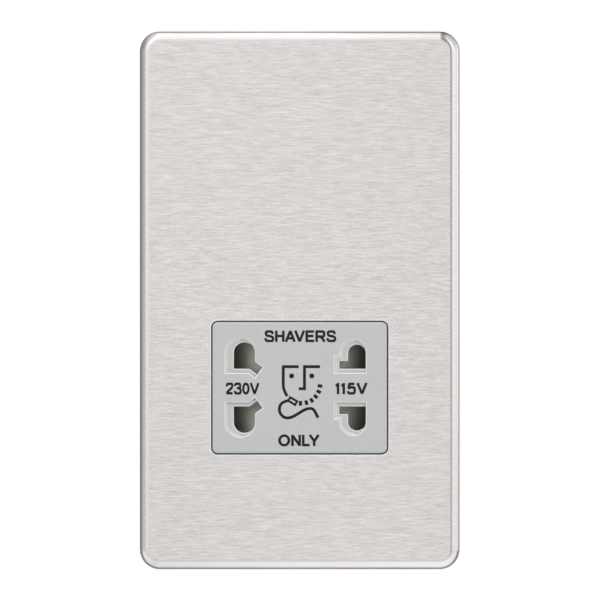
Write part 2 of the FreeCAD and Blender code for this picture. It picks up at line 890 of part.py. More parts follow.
def transformer_bobbin():
    half = window_height / 2 - bobbin_gap
    low, high = core_z - half, core_z + half
    tube = bobbin_gap + bobbin_wall
    parts = [coil_block(tube, tube, low, high)]
    for z in (low, core_z - bobbin_flange / 2, high - bobbin_flange):
        reach_x, reach_y = window_width - bobbin_gap, tube + winding_build + flange_overhang
        parts.append(coil_block(reach_x, reach_y, z, z + bobbin_flange, bobbin_wall))
    return parts[0].fuse(parts[1:]).cut(coil_block(bobbin_gap, bobbin_gap, low, high)).removeSplitter()


def winding(half):
    # The copper between two flanges of the bobbin, on the tube
    inner = bobbin_gap + bobbin_wall
    near, far = bobbin_flange / 2, window_height / 2 - bobbin_gap - bobbin_flange
    low, high = sorted((core_z + half * near, core_z + half * far))
    outer = coil_block(inner + winding_build, inner + winding_build, low, high, winding_build / 2)
    return outer.cut(coil_block(inner, inner, low, high))


def thermal_cutout():
    middle = (core_front + core_back) / 2 - cutout_shift
    x = (core_width / 2, core_width / 2 + cutout_width)
    return block(
        x, (middle - cutout_depth / 2, middle + cutout_depth / 2),
        (core_z - cutout_height / 2, core_z + cutout_height / 2),
    )


# Terminals


def terminal_block():
    body = block(
        (-block_width / 2, block_width / 2), (block_front, block_front + block_depth),
        (block_top - block_gap - block_height, block_top - block_gap),
    )
    holes = []
    low = block_top - block_gap - block_height
    for i in (-1, 0, 1):
        x, half = i * terminal_pitch, tunnel_width / 2 + tunnel_gap
        depth = (tunnel_front, tunnel_back + tunnel_gap)
        holes.append(block((x - half, x + half), depth, (low, tunnel_top)))
        z = tunnel_top - tunnel_height / 2
        holes.append(rod(terminal_screw_head + tunnel_gap, tunnel_back, block_front + block_depth, x, z))
        holes.append(lead_hole(x, tunnel_top, block_top))
    for i in (-0.5, 0.5):
        # The slots between the poles lengthen the path over the surface
        x, half = i * terminal_pitch, pole_slot_width / 2
        back = block_front + block_depth
        holes.append(block((x - half, x + half), (back - pole_slot_depth, back), (low, block_top)))
    return body.cut(holes)


def terminal_tunnel(i):
    x = i * terminal_pitch
    z = (tunnel_top - tunnel_height, tunnel_top)
    body = block((x - tunnel_width / 2, x + tunnel_width / 2), (tunnel_front, tunnel_back), z)
    bore = Part.makeCylinder(wire_bore_radius, tunnel_height, vec(x, bore_y, z[0]), vec(0, 0, 1))
    middle = tunnel_top - tunnel_height / 2
    thread = rod(terminal_screw_radius + screw_clearance, bore_y, tunnel_back, x, middle)
    return body.cut([bore, thread])


def terminal_screw(i):
    # Backed off, so that its tip stands just clear of the wire bore
    x, z = i * terminal_pitch, tunnel_top - tunnel_height / 2
    tip = bore_y + wire_bore_radius
    seat = tip + terminal_screw_length
    head = (terminal_screw_head, terminal_screw_head_height)
    return screw(*head, terminal_screw_radius, terminal_screw_length, seat, x, z, -1)


# Earth spring


def earth_spring():
    # A foot on the frame's floor and a sprung arm that bears on the steel plate's back
    strip, foot = earth_strip, earth_foot
    rise = floor_front - plate_back
    top = foot / 2 + earth_run * rise
    outline = [
        (-foot / 2, floor_front), (foot / 2, floor_front), (top, plate_back + strip),
        (2 * foot, plate_back + strip), (2 * foot, plate_back), (top - strip, plate_back),
        (foot / 2 - strip, floor_front - strip), (-foot / 2, floor_front - strip),
    ]
    leaf_shape = extruded(
        [vec(x, y, earth_z - earth_width / 2) for x, y in outline], vec(0, 0, earth_width)
    )
    return leaf_shape.cut(rod(small_hole_radius, plate_back, floor_front, 0, earth_z))


def build():
    export("front_plate", [front_plate()])
    export("plate_studs", [plate_stud(x, z) for x, z in corners(stud_x, stud_z)])
    export("mounting_frame", [mounting_frame()])
    export("socket_insert", [socket_insert()])
    export("shutter_slider", [shutter_slider()])
    export("shutter_spring_left", [shutter_spring(-1)])
    export("shutter_spring_right", [shutter_spring(1)])
    export("contact_carrier", [contact_carrier()])
    export("carrier_cover", [carrier_cover()])
    for side, voltage in ((-1, "230v"), (1, "115v")):
        export("contact_" + voltage + "_upper", [contact(side, 1)])
        export("contact_" + voltage + "_lower", [contact(side, -1)])
    export("switch_leaf_moving", [switch_leaf_moving()])
    export("switch_leaf_fixed", [switch_leaf_fixed()])
    export("rear_housing", [rear_housing()])
    export("transformer_core", [transformer_core()])
    export("transformer_bobbin", [transformer_bobbin()])
    export("primary_winding", [winding(-1)])
    export("secondary_winding", [winding(1)])
    export("thermal_cutout", [thermal_cutout()])
    export("terminal_block", [terminal_block()])
    for i, pole in ((-1, "live"), (0, "earth"), (1, "neutral")):
        export(pole + "_terminal", [terminal_tunnel(i)])
    export("earth_spring", [earth_spring()])
    build_screws()


def fixing_screw(z):
    # The neck is thinner than the thread, which keeps the screw in the frame
    head = rod(fixing_head_radius, floor_front - fixing_head_height, floor_front, 0, z)
    neck = rod(fixing_neck_radius, floor_front, 0, 0, z)
    thread = rod(fixing_radius, 0, floor_front + fixing_length, 0, z)
    return head.fuse([neck, thread]).removeSplitter()


def build_screws():
    export("fixing_screws", [fixing_screw(side * fixing_spacing / 2) for side in sides])
    housing = (housing_screw_head, housing_screw_head_height, housing_screw_radius, housing_screw_length)
    places = corners(housing_screw_x, housing_screw_z)
    export("housing_screws", [screw(*housing, floor_front, x, z) for x, z in places])
    small = (small_screw_head, small_screw_head_height, small_screw_radius)
    places = insert_screws_at()
    export("insert_screws", [screw(*small, insert_screw_length, flange_front, x, z) for x, z in places])
    carrier = [screw(*small, small_screw_length, carrier_back, x, z, -1) for x, z in carrier_screws_at()]
    covers = [screw(*small, cover_screw_length, cover_back, s * cover_screw_x, insert_z, -1) for s in sides]
    export("carrier_screws", carrier + covers)
    core = (core_screw_head, core_screw_head_height, core_screw_radius, core_stack + core_screw_bite)
    export("core_screws", [screw(*core, core_front, x, z) for x, z in core_screws_at()])
    export("terminal_screws", [terminal_screw(i) for i in (-1, 0, 1)])
    export("earth_screw", [screw(*small, earth_screw_length, floor_front - earth_strip, 0, earth_z)])


build()
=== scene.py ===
import math

import bmesh
import bpy
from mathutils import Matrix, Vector


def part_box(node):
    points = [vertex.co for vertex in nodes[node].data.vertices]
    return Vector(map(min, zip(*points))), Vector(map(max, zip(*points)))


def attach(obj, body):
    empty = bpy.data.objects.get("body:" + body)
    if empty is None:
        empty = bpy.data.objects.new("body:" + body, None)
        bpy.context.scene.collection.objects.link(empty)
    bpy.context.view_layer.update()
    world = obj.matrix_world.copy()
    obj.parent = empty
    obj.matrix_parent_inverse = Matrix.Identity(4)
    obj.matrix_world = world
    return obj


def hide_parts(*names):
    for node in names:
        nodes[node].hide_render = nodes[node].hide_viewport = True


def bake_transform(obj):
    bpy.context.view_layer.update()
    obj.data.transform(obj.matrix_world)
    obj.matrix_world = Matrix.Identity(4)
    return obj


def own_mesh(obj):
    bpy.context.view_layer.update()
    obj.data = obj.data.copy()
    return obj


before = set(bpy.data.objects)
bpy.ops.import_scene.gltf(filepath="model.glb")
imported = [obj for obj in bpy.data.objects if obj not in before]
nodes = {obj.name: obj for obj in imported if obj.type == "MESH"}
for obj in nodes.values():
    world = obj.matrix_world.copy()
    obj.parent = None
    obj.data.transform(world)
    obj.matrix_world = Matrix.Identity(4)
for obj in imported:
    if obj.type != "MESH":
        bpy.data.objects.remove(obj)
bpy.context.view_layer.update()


# Small helpers for working the way one does by hand

tiny = 1e-6  # places nearer together than this count as one
past = 0.001  # a cutter runs this far out of what it cuts
smoothAngle = 32  # degrees: a fold below it is shaded smooth
flatAngle = 0.5  # degrees: faces that turn less than this are one face


def leaveEditMode():
    if bpy.context.object and bpy.context.object.mode != "OBJECT":
        bpy.ops.object.mode_set(mode="OBJECT")


def clearSelection():
    leaveEditMode()
    bpy.ops.object.select_all(action="DESELECT")


def makeActive(piece):
    clearSelection()
    piece.select_set(True)
    bpy.context.view_layer.objects.active = piece


def applyPlace(piece):
    makeActive(piece)
    bpy.ops.object.transform_apply(location=True, rotation=True, scale=True)


def addBlock(name, low, high):
    clearSelection()
    bpy.ops.mesh.primitive_cube_add(size=1, location=(Vector(low) + Vector(high)) / 2)
    piece = bpy.context.object
    piece.name = name
    piece.scale = Vector(high) - Vector(low)
    applyPlace(piece)
    return piece


def addRod(name, radius, start, end, vertices):
    clearSelection()
    start, end = Vector(start), Vector(end)
    bpy.ops.mesh.primitive_cylinder_add(
        radius=radius, depth=(end - start).length, vertices=vertices, location=(start + end) / 2,
        rotation=(end - start).to_track_quat("Z", "Y").to_euler(),
    )
    piece = bpy.context.object
    piece.name = name
    applyPlace(piece)
    return piece


def pickEdges(piece, rule, folds=lambda edge: True):
    # rule looks at the edge's two ends, and folds at the edge itself
    makeActive(piece)
    bpy.ops.object.mode_set(mode="EDIT")
    bpy.ops.mesh.select_mode(type="EDGE")
    bpy.ops.mesh.select_all(action="DESELECT")
    mesh = bmesh.from_edit_mesh(piece.data)
    for edge in mesh.edges:
        edge.select_set(rule(edge.verts[0].co, edge.verts[1].co) and folds(edge))
    bmesh.update_edit_mesh(piece.data)


def bothAt(a, b, y):
    return abs(a.y - y) < tiny and abs(b.y - y) < tiny


def bevelPicked(width, steps, material=-1):
    bpy.ops.mesh.bevel(offset=width, segments=steps, affect="EDGES", material=material)
    leaveEditMode()


def linkCopy(nodeName, pieceName):
    piece = bpy.data.objects.new(pieceName, nodes[nodeName].data.copy())
    bpy.context.scene.collection.objects.link(piece)
    return piece


def mergeMesh(piece, dropSlivers=False):
    # The CAD's triangles become whole faces again
    makeActive(piece)
    bpy.ops.object.mode_set(mode="EDIT")
    bpy.ops.mesh.select_all(action="SELECT")
    bpy.ops.mesh.remove_doubles(threshold=tiny)
    if dropSlivers:
        bpy.ops.mesh.dissolve_degenerate(threshold=tiny)
    bpy.ops.mesh.dissolve_limited(angle_limit=math.radians(flatAngle))
    leaveEditMode()


def turnOutward(piece, openSides=0):
    # Open ends with so many sides are closed, and then every face looks out
    makeActive(piece)
    bpy.ops.object.mode_set(mode="EDIT")
    bpy.ops.mesh.select_all(action="SELECT")
    if openSides:
        bpy.ops.mesh.fill_holes(sides=openSides)
    bpy.ops.mesh.normals_make_consistent(inside=False)
    leaveEditMode()


def pickFaces(piece, rule):
    makeActive(piece)
    bpy.ops.object.mode_set(mode="EDIT")
    bpy.ops.mesh.select_mode(type="FACE")
    bpy.ops.mesh.select_all(action="DESELECT")
    mesh = bmesh.from_edit_mesh(piece.data)
    for face in mesh.faces:
        face.select_set(rule(face.calc_center_median(), face.normal))
    bmesh.update_edit_mesh(piece.data)


def applyModifier(piece, kind, **settings):
    makeActive(piece)
    modifier = piece.modifiers.new(kind.title(), kind)
    for key, value in settings.items():
        setattr(modifier, key, value)
    bpy.ops.object.modifier_apply(modifier=modifier.name)


def cutAway(piece, cutter):
    applyModifier(piece, "BOOLEAN", object=cutter, operation="DIFFERENCE", solver="EXACT")
    bpy.data.objects.remove(cutter)


def joinPieces(pieces, name):
    makeActive(pieces[0])
    for piece in pieces:
        piece.select_set(True)
    bpy.ops.object.join()
    joined = bpy.context.object
    joined.name = name
    return joined


def smoothFaces(piece, degrees=smoothAngle):
    makeActive(piece)
    bpy.ops.object.shade_smooth_by_angle(angle=math.radians(degrees))
    applyModifier(piece, "WEIGHTED_NORMAL", keep_sharp=True)


def finishPiece(piece, body, slotName, material, *standsFor):
    if len(piece.data.materials) > 1:
        piece.data.materials[0] = material
    else:
        piece.data.materials.clear()
        piece.data.materials.append(material)
    if standsFor:
        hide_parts(*standsFor)
    if body:
        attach(piece, body)


# The insert's lips: the edges of its front, of the recesses in it and of the openings in them

lips = {
    "shoulderY": -0.0047, "recessDepth": 0.0008, "holeEase": 0.00024, "holeSteps": 3, "flare": 0.0003,
    "flareFacing": (-0.9, -0.4), "outerEase": 0.00025, "outerSteps": 3, "footEase": 0.0006, "footSteps": 4,
    "footRoom": 0.0009, "windowX": 0.0225, "windowZ": 0.0165, "middleZ": -0.024, "squareOn": -0.99,
    "foldAngle": 40, "foldSteps": 2,
}


def inWindow(point):
    return abs(point.x) < lips["windowX"] and abs(point.z - lips["middleZ"]) < lips["windowZ"]


def easeOpenings(piece):
    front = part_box("socket_insert")[0].y
    depth = front + lips["recessDepth"]
    piece.data.materials.clear()
    for _ in range(4):
        piece.data.materials.append(None)

    def onFloor(a, b):
        return bothAt(a, b, depth) and inWindow(a)

    # The recess's floor turns down into the hole over a rounded edge, which takes the second finish, a painted
    # highlight
    pickEdges(piece, onFloor, lambda edge: edge.is_convex)
    bevelPicked(lips["holeEase"], lips["holeSteps"], material=1)

    # The foot of the recess's wall runs out into its floor in a wide curve, where the hole leaves it room
    # The curve takes the fourth finish, a lighter grey painted as light that lifts the shade at the foot of the wall
    pickEdges(piece, onFloor, lambda edge: edge.is_convex)
    mesh = bmesh.from_edit_mesh(piece.data)
    rims = [v.co.copy() for edge in mesh.edges if edge.select for v in edge.verts]

    def hasRoom(edge):
        return all((v.co - rim).length > lips["footRoom"] for v in edge.verts for rim in rims)

    pickEdges(piece, onFloor, lambda edge: not edge.is_convex and hasRoom(edge))
    bevelPicked(lips["footEase"], lips["footSteps"], material=3)

    # The recess's flared lip takes the second finish, a lighter colour that is a painted highlight, and the shoulder
    # under the plate, which shows only as the dark line of the gap, the third, a near-black painted shade
    steep, flat = lips["flareFacing"]
    for face in piece.data.polygons:
        if steep < face.normal.y < flat and face.center.y < front + lips["flare"] and inWindow(face.center):
            face.material_index = 1
        # the shoulder's faces take a painted shade, so the gap round the insert reads dark
        if face.normal.y < lips["squareOn"] and abs(face.center.y - lips["shoulderY"]) < 10 * tiny:
            face.material_index = 2


def easeOuterEdge(piece):
    # The insert's front has a wider easing all round, which catches the light beside the gap
    front = min(v.co.y for v in piece.data.vertices)
    pickEdges(piece, lambda a, b: bothAt(a, b, front) and not inWindow(a))
    bevelPicked(lips["outerEase"], lips["outerSteps"])


def softCopy(nodeName, pieceName, ease, sink):
    # A merged copy of a moulding with its sharp edges eased, its front face set back by sink
    piece = linkCopy(nodeName, pieceName)
    mergeMesh(piece)
    if nodeName == "socket_insert":
        easeOpenings(piece)
        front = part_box(nodeName)[0].y
        pickFaces(piece, lambda centre, normal: normal.y < lips["squareOn"] and centre.y < front + sink)
        bpy.ops.transform.translate(value=(0, sink, 0))
        leaveEditMode()
        easeOuterEdge(piece)
    applyModifier(
        piece, "BEVEL", width=ease, segments=lips["foldSteps"], limit_method="ANGLE",
        angle_limit=math.radians(lips["foldAngle"]), use_clamp_overlap=True,
    )
    smoothFaces(piece)
    return piece


# Shared shader groups: the grain moves a finish's roughness and relief, and the tone its colour

noises = {
    "fineGrain": {"detail": 3, "roughness": 0.6, "low": 0.3, "high": 0.7},
    "toneDrift": {"detail": 4, "roughness": 0.65, "low": 0.28, "high": 0.72},
}


def addSocket(group, name, inOut, kind, default=None):
    socket = group.interface.new_socket(name=name, in_out=inOut, socket_type=kind)
    if default is not None:
        socket.default_value = default


def startNoiseGroup(name):
    # Noise in object space, spread to levels. Stretch sets how far each axis is squeezed.
    group = bpy.data.node_groups.new(name, "ShaderNodeTree")
    addSocket(group, "Stretch", "INPUT", "NodeSocketVector", (1, 1, 1))
    addSocket(group, "Size", "INPUT", "NodeSocketFloat", 1000)
    start, end, place, mapping, noise, levels = (group.nodes.new(kind) for kind in (
        "NodeGroupInput", "NodeGroupOutput", "ShaderNodeTexCoord", "ShaderNodeMapping", "ShaderNodeTexNoise",
        "ShaderNodeMapRange",
    ))
    noise.inputs["Detail"].default_value = noises[name]["detail"]
    noise.inputs["Roughness"].default_value = noises[name]["roughness"]
    levels.inputs["From Min"].default_value = noises[name]["low"]
    levels.inputs["From Max"].default_value = noises[name]["high"]
    link = group.links.new
    link(place.outputs["Object"], mapping.inputs["Vector"])
    link(start.outputs["Stretch"], mapping.inputs["Scale"])
    link(mapping.outputs["Vector"], noise.inputs["Vector"])
    link(start.outputs["Size"], noise.inputs["Scale"])
    link(noise.outputs["Fac"], levels.inputs["Value"])
    return group, start, end, noise, levels


def makeGrainGroup():
    group, start, end, noise, levels = startNoiseGroup("fineGrain")
    addSocket(group, "Low", "INPUT", "NodeSocketFloat", 0)
    addSocket(group, "High", "INPUT", "NodeSocketFloat", 1)
    addSocket(group, "Height", "OUTPUT", "NodeSocketFloat")
    addSocket(group, "Level", "OUTPUT", "NodeSocketFloat")
    link = group.links.new
    link(start.outputs["Low"], levels.inputs["To Min"])
    link(start.outputs["High"], levels.inputs["To Max"])
    link(noise.outputs["Fac"], end.inputs["Height"])
    link(levels.outputs["Result"], end.inputs["Level"])
    return group


def makeToneGroup():
    group, start, end, _, levels = startNoiseGroup("toneDrift")
    addSocket(group, "Dark", "INPUT", "NodeSocketColor", (0.4, 0.4, 0.4, 1))
    addSocket(group, "Light", "INPUT", "NodeSocketColor", (0.6, 0.6, 0.6, 1))
    addSocket(group, "Color", "OUTPUT", "NodeSocketColor")
    mix = group.nodes.new("ShaderNodeMix")
    mix.data_type = "RGBA"
    link = group.links.new
    link(levels.outputs["Result"], mix.inputs[0])
    link(start.outputs["Dark"], mix.inputs[6])
    link(start.outputs["Light"], mix.inputs[7])
    link(mix.outputs[2], end.inputs["Color"])
    return group


grainGroup = makeGrainGroup()
toneGroup = makeToneGroup()

# What all looks share, and what a look may leave out: the shader's socket, the look's name for it, its usual level
sharedLevels = {"IOR": 1.5, "Coat Roughness": 0.1}
lookLevels = [
    ("Metallic", "metallic", 0.0), ("Specular IOR Level", "specular", 0.5), ("Anisotropic", "anisotropic", 0.0),
    ("Anisotropic Rotation", "brushTurn", 0.0), ("Coat Weight", "coat", 0.0),
]


def addGroup(tree, group, **levels):
    node = tree.nodes.new("ShaderNodeGroup")
    node.node_tree = group
    for name, level in levels.items():
        node.inputs[name].default_value = level
    return node


def makeMaterial(name, look):
    # Every finish here is a toned colour with a grain that moves its roughness and its relief
    material = bpy.data.materials.new(name)
    material.use_nodes = True
    tree = material.node_tree
    link = tree.links.new
    shader = tree.nodes["Principled BSDF"]
    for socket, level in sharedLevels.items():
        shader.inputs[socket].default_value = level
    for socket, key, level in lookLevels:
        shader.inputs[socket].default_value = look.get(key, level)
    tone = addGroup(
        tree, toneGroup, Dark=(*look["dark"], 1), Light=(*look["light"], 1), Size=look.get("toneSize", 60),
        Stretch=look.get("toneStretch", (1, 1, 1)),
    )
    grain = addGroup(
        tree, grainGroup, Stretch=look.get("stretch", (1, 1, 1)), Size=look["grainSize"], Low=look["roughLow"],
        High=look["roughHigh"],
    )
    bump = tree.nodes.new("ShaderNodeBump")
    bump.inputs["Strength"].default_value = look.get("bumpStrength", 0.2)
    bump.inputs["Distance"].default_value = look.get("bumpDepth", 0.00002)
    link(tone.outputs["Color"], shader.inputs["Base Color"])
    link(grain.outputs["Level"], shader.inputs["Roughness"])
    link(grain.outputs["Height"], bump.inputs["Height"])
    link(bump.outputs["Normal"], shader.inputs["Normal"])
    if "feetPaintedShade" in look:
        # The shutter's slopes run from the lighter crown out to darker feet, a painted shade for the depth of the
        # holes
        place, split, side, depth, mix = (
            tree.nodes.new("ShaderNode" + kind) for kind in ("TexCoord", "SeparateXYZ", "Math", "MapRange", "Mix")
        )
        side.operation = "ABSOLUTE"
        depth.inputs["From Min"].default_value, depth.inputs["From Max"].default_value = look["feetShadeFrom"]
        mix.data_type = "RGBA"
        mix.inputs[7].default_value = (*look["feetPaintedShade"], 1)
        link(place.outputs["Object"], split.inputs["Vector"])
        link(split.outputs["X"], side.inputs[0])
        link(side.outputs[0], depth.inputs["Value"])
        link(depth.outputs["Result"], mix.inputs[0])
        link(tone.outputs["Color"], mix.inputs[6])
        link(mix.outputs[2], shader.inputs["Base Color"])
    return material


# Finishes. Colours are linear.

looks = {
    "brushedSteel": {
        "dark": (0.562, 0.541, 0.535), "light": (0.793, 0.763, 0.753), "toneSize": 3000,
        "toneStretch": (0.09, 0.09, 1), "metallic": 1.0, "stretch": (0.08, 0.08, 1), "grainSize": 4200,
        "roughLow": 0.20, "roughHigh": 0.30, "anisotropic": 0.8, "brushTurn": 0.25, "bumpStrength": 0.3,
        "bumpDepth": 0.00001,
    },
    "rolledSteel": {
        "dark": (0.620, 0.597, 0.589), "light": (0.680, 0.656, 0.648), "toneSize": 2700,
        "toneStretch": (0.045, 0.05, 1), "metallic": 1.0, "stretch": (0.04, 0.05, 1), "grainSize": 4200,
        "roughLow": 0.20, "roughHigh": 0.26, "anisotropic": 0.8, "brushTurn": 0.25, "bumpStrength": 0.1,
        "bumpDepth": 0.00001,
    },
    # steel for the cut rim: bright from the room it reflects, and partly a painted highlight in its lighter colour
    "cutSteelPaintedHighlight": {
        "dark": (0.88, 0.87, 0.86), "light": (0.96, 0.95, 0.94), "toneSize": 900, "metallic": 1.0,
        "grainSize": 6000, "roughLow": 0.42, "roughHigh": 0.5, "bumpStrength": 0.1,
    },
    # painted shade: nearly black steel on the sheet's cut wall, which darkens the gap
    "cutWallPaintedShade": {
        "dark": (0.10, 0.10, 0.10), "light": (0.16, 0.16, 0.16), "toneSize": 700, "metallic": 1.0,
        "grainSize": 3000, "roughLow": 0.45, "roughHigh": 0.6,
    },
    # painted highlight: a grey lighter than the insert's, for its lips and the rims of its holes
    "insertLipPaintedHighlight": {
        "dark": (0.73, 0.735, 0.72), "light": (0.79, 0.795, 0.78), "grainSize": 5200, "specular": 0.8,
        "roughLow": 0.25, "roughHigh": 0.35, "bumpStrength": 0.05,
    },
    # painted light: lighter than the insert, on the curve at the foot of the recess's wall
    "insertFootPaintedLight": {
        "dark": (0.655, 0.665, 0.655), "light": (0.695, 0.705, 0.695), "grainSize": 5200,
        "roughLow": 0.35, "roughHigh": 0.45, "bumpStrength": 0.05,
    },
    "insertGrey": {
        "dark": (0.494, 0.507, 0.501), "light": (0.514, 0.528, 0.522), "grainSize": 5200,
        "roughLow": 0.42, "roughHigh": 0.54, "bumpStrength": 0.08,
    },
    # the shutter's feet get a painted shade, darker away from its middle
    "shutterOlive": {
        "dark": (0.44, 0.435, 0.38), "light": (0.53, 0.525, 0.46), "grainSize": 4800, "feetShadeFrom": (0.0120, 0.0172),
        "feetPaintedShade": (0.225, 0.20, 0.172), "roughLow": 0.42, "roughHigh": 0.6,
    },
    "housingBlack": {
        "dark": (0.014, 0.014, 0.015), "light": (0.024, 0.024, 0.026), "grainSize": 2600,
        "roughLow": 0.45, "roughHigh": 0.7, "bumpStrength": 0.5, "bumpDepth": 0.00004,
    },
    "frameGrey": {
        "dark": (0.54, 0.55, 0.55), "light": (0.60, 0.61, 0.61), "grainSize": 2800,
        "roughLow": 0.42, "roughHigh": 0.62, "bumpStrength": 0.35,
    },
    # painted shade: near-black, on the insert's shoulder where it shows through the gap
    "shoulderPaintedShade": {
        "dark": (0.055, 0.056, 0.058), "light": (0.075, 0.076, 0.078), "grainSize": 2800,
        "roughLow": 0.42, "roughHigh": 0.62, "bumpStrength": 0.35,
    },
    "carrierNatural": {
        "dark": (0.62, 0.60, 0.52), "light": (0.70, 0.68, 0.60), "grainSize": 3600,
        "roughLow": 0.35, "roughHigh": 0.5,
    },
    "springSteel": {
        "dark": (0.52, 0.52, 0.53), "light": (0.66, 0.66, 0.67), "metallic": 1.0, "grainSize": 6000,
        "roughLow": 0.22, "roughHigh": 0.36,
    },
    "zincSteel": {
        "dark": (0.56, 0.57, 0.60), "light": (0.72, 0.73, 0.74), "metallic": 1.0, "grainSize": 5000,
        "roughLow": 0.25, "roughHigh": 0.45, "toneSize": 400,
    },
    "brassStrip": {
        "dark": (0.70, 0.52, 0.24), "light": (0.83, 0.66, 0.34), "metallic": 1.0, "grainSize": 5000,
        "stretch": (1, 1, 0.1), "roughLow": 0.22, "roughHigh": 0.38, "toneSize": 200,
    },
    "coreSteel": {
        "dark": (0.16, 0.165, 0.18), "light": (0.30, 0.30, 0.31), "metallic": 1.0, "grainSize": 2000,
        "stretch": (0.02, 1, 0.02), "roughLow": 0.35, "roughHigh": 0.7, "bumpStrength": 0.8, "bumpDepth": 0.0001,
    },
    "bobbinWhite": {
        "dark": (0.74, 0.74, 0.70), "light": (0.80, 0.80, 0.76), "grainSize": 3600,
        "roughLow": 0.35, "roughHigh": 0.5,
    },
    "windingCopper": {
        "dark": (0.48, 0.17, 0.07), "light": (0.72, 0.30, 0.14), "metallic": 1.0, "grainSize": 1500,
        "stretch": (0.03, 0.03, 1), "roughLow": 0.2, "roughHigh": 0.4, "bumpStrength": 0.9, "bumpDepth": 0.00015,
        "coat": 0.6,
    },
    "cutoutCase": {
        "dark": (0.070, 0.070, 0.079), "light": (0.090, 0.090, 0.101), "grainSize": 3000,
        "roughLow": 0.35, "roughHigh": 0.5,
    },
    "blockGrey": {
        "dark": (0.30, 0.31, 0.31), "light": (0.36, 0.37, 0.37), "grainSize": 3200,
        "roughLow": 0.38, "roughHigh": 0.52,
    },
    "printInk": {
        "dark": (0.010, 0.011, 0.012), "light": (0.016, 0.018, 0.019), "grainSize": 9000, "specular": 0.15,
        "roughLow": 0.55, "roughHigh": 0.7, "bumpStrength": 0.1,
    },
}
finishes = {name: makeMaterial(name, look) for name, look in looks.items()}
print("finishes ready:", len(finishes))


# Front plate

plate = {
    "cornerRadius": 0.0055, "cornerSteps": 14, "edgeRadius": 0.0026, "edgeSteps": 9, "sheet": 0.0012,
    "cutoutWidth": 0.04866, "cutoutHeight": 0.03676, "cutoutCorner": 0.00183, "cutoutSteps": 8, "cutoutZ": -0.024,
    "cutterAhead": 0.002, "cutterBehind": 0.003, "rimEase": 0.00030, "rimSteps": 3, "slack": 0.00001,
    "notchWidth": 0.010, "notchDepth": 0.0012, "notchHeight": 0.003, "squareOn": 0.9,
}


def roundedBlock(name, low, high, radius, steps):
    block = addBlock(name, low, high)
    pickEdges(block, lambda a, b: abs(a.x - b.x) < tiny and abs(a.z - b.z) < tiny)
    bevelPicked(radius, steps)
    return block


def makeFrontPlate():
    low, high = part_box("front_plate")
    shell = roundedBlock("frontPlateShell", low, high, plate["cornerRadius"], plate["cornerSteps"])
    pickFaces(shell, lambda centre, normal: normal.y > plate["squareOn"])
    bpy.ops.mesh.delete(type="FACE")
    pickEdges(shell, lambda a, b: bothAt(a, b, low.y))
    bevelPicked(plate["edgeRadius"], plate["edgeSteps"])
    applyModifier(shell, "SOLIDIFY", thickness=plate["sheet"], offset=-1, use_even_offset=True, use_rim=True)

    halfWidth, halfHeight, z = plate["cutoutWidth"] / 2, plate["cutoutHeight"] / 2, plate["cutoutZ"]
    cutter = roundedBlock(
        "cutoutCutter", (-halfWidth, low.y - plate["cutterAhead"], z - halfHeight),
        (halfWidth, low.y + plate["cutterBehind"], z + halfHeight), plate["cutoutCorner"], plate["cutoutSteps"],
    )
    cutAway(shell, cutter)
    notchHalf = plate["notchWidth"] / 2
    notch = addBlock(
        "notchCutter", (-notchHalf, high.y - plate["notchDepth"], low.z - past),
        (notchHalf, high.y + past, low.z + plate["notchHeight"]),
    )
    cutAway(shell, notch)

    def inCutout(point, room):
        return abs(point.x) < halfWidth + room and abs(point.z - z) < halfHeight + room

    slack = plate["slack"]
    pickEdges(shell, lambda a, b: bothAt(a, b, low.y) and inCutout(a, slack) and inCutout(b, slack))
    bevelPicked(plate["rimEase"], plate["rimSteps"])
    smoothFaces(shell)
    finishPiece(shell, "unit", "steel_plate", finishes["brushedSteel"], "front_plate")

    # Round the window the cut rim is bright, its lighter steel partly a painted highlight, and the sheet's cut wall
    # dull, nearly black as a painted shade in the gap; the brushing fades on the rolled edge
    reach = plate["rimEase"] + slack
    flatX, flatZ = high.x - plate["edgeRadius"], high.z - plate["edgeRadius"]
    for finish in ("cutSteelPaintedHighlight", "cutWallPaintedShade", "rolledSteel"):
        shell.data.materials.append(finishes[finish])
    for face in shell.data.polygons:
        if abs(face.center.x) > flatX or abs(face.center.z) > flatZ:
            face.material_index = 3
        if inCutout(face.center, reach) and face.center.y < low.y + plate["sheet"] + slack:
            face.material_index = 1 if face.center.y < low.y + reach else 2


makeFrontPlate()
print("front plate ready")


# Mouldings whose CAD form stays, with eased edges

# node, easing of its edges, setting back of its front under the print, slot, finish, body
mouldings = {
    "socketInsertBody": ("socket_insert", 0.00010, 0.00003, "insert_moulding", "insertGrey", "unit"),
    "rearHousingBody": ("rear_housing", 0.00045, 0, "housing_moulding", "housingBlack", "unit"),
    "mountingFrameBody": ("mounting_frame", 0.00015, 0, "frame_moulding", "frameGrey", "unit"),
    "terminalBlockBody": ("terminal_block", 0.00015, 0, "block_moulding", "blockGrey", "unit"),
    "shutterSliderBody": ("shutter_slider", 0.00012, 0, "shutter_moulding", "shutterOlive", "shutter"),
}


def makeMouldings():
    for pieceName, (nodeName, ease, sink, slotName, finish, body) in mouldings.items():
        piece = softCopy(nodeName, pieceName, ease, sink)
        if nodeName == "socket_insert":
            for index, detail in enumerate(("insertLipPaintedHighlight", "shoulderPaintedShade", "insertFootPaintedLight"), start=1):
                piece.data.materials[index] = finishes[detail]
        finishPiece(piece, body, slotName, finishes[finish], nodeName)
        print("eased", nodeName, len(piece.data.polygons), "faces")


makeMouldings()


# Fixing screws with a rolled thread, and terminal screws with slotted heads

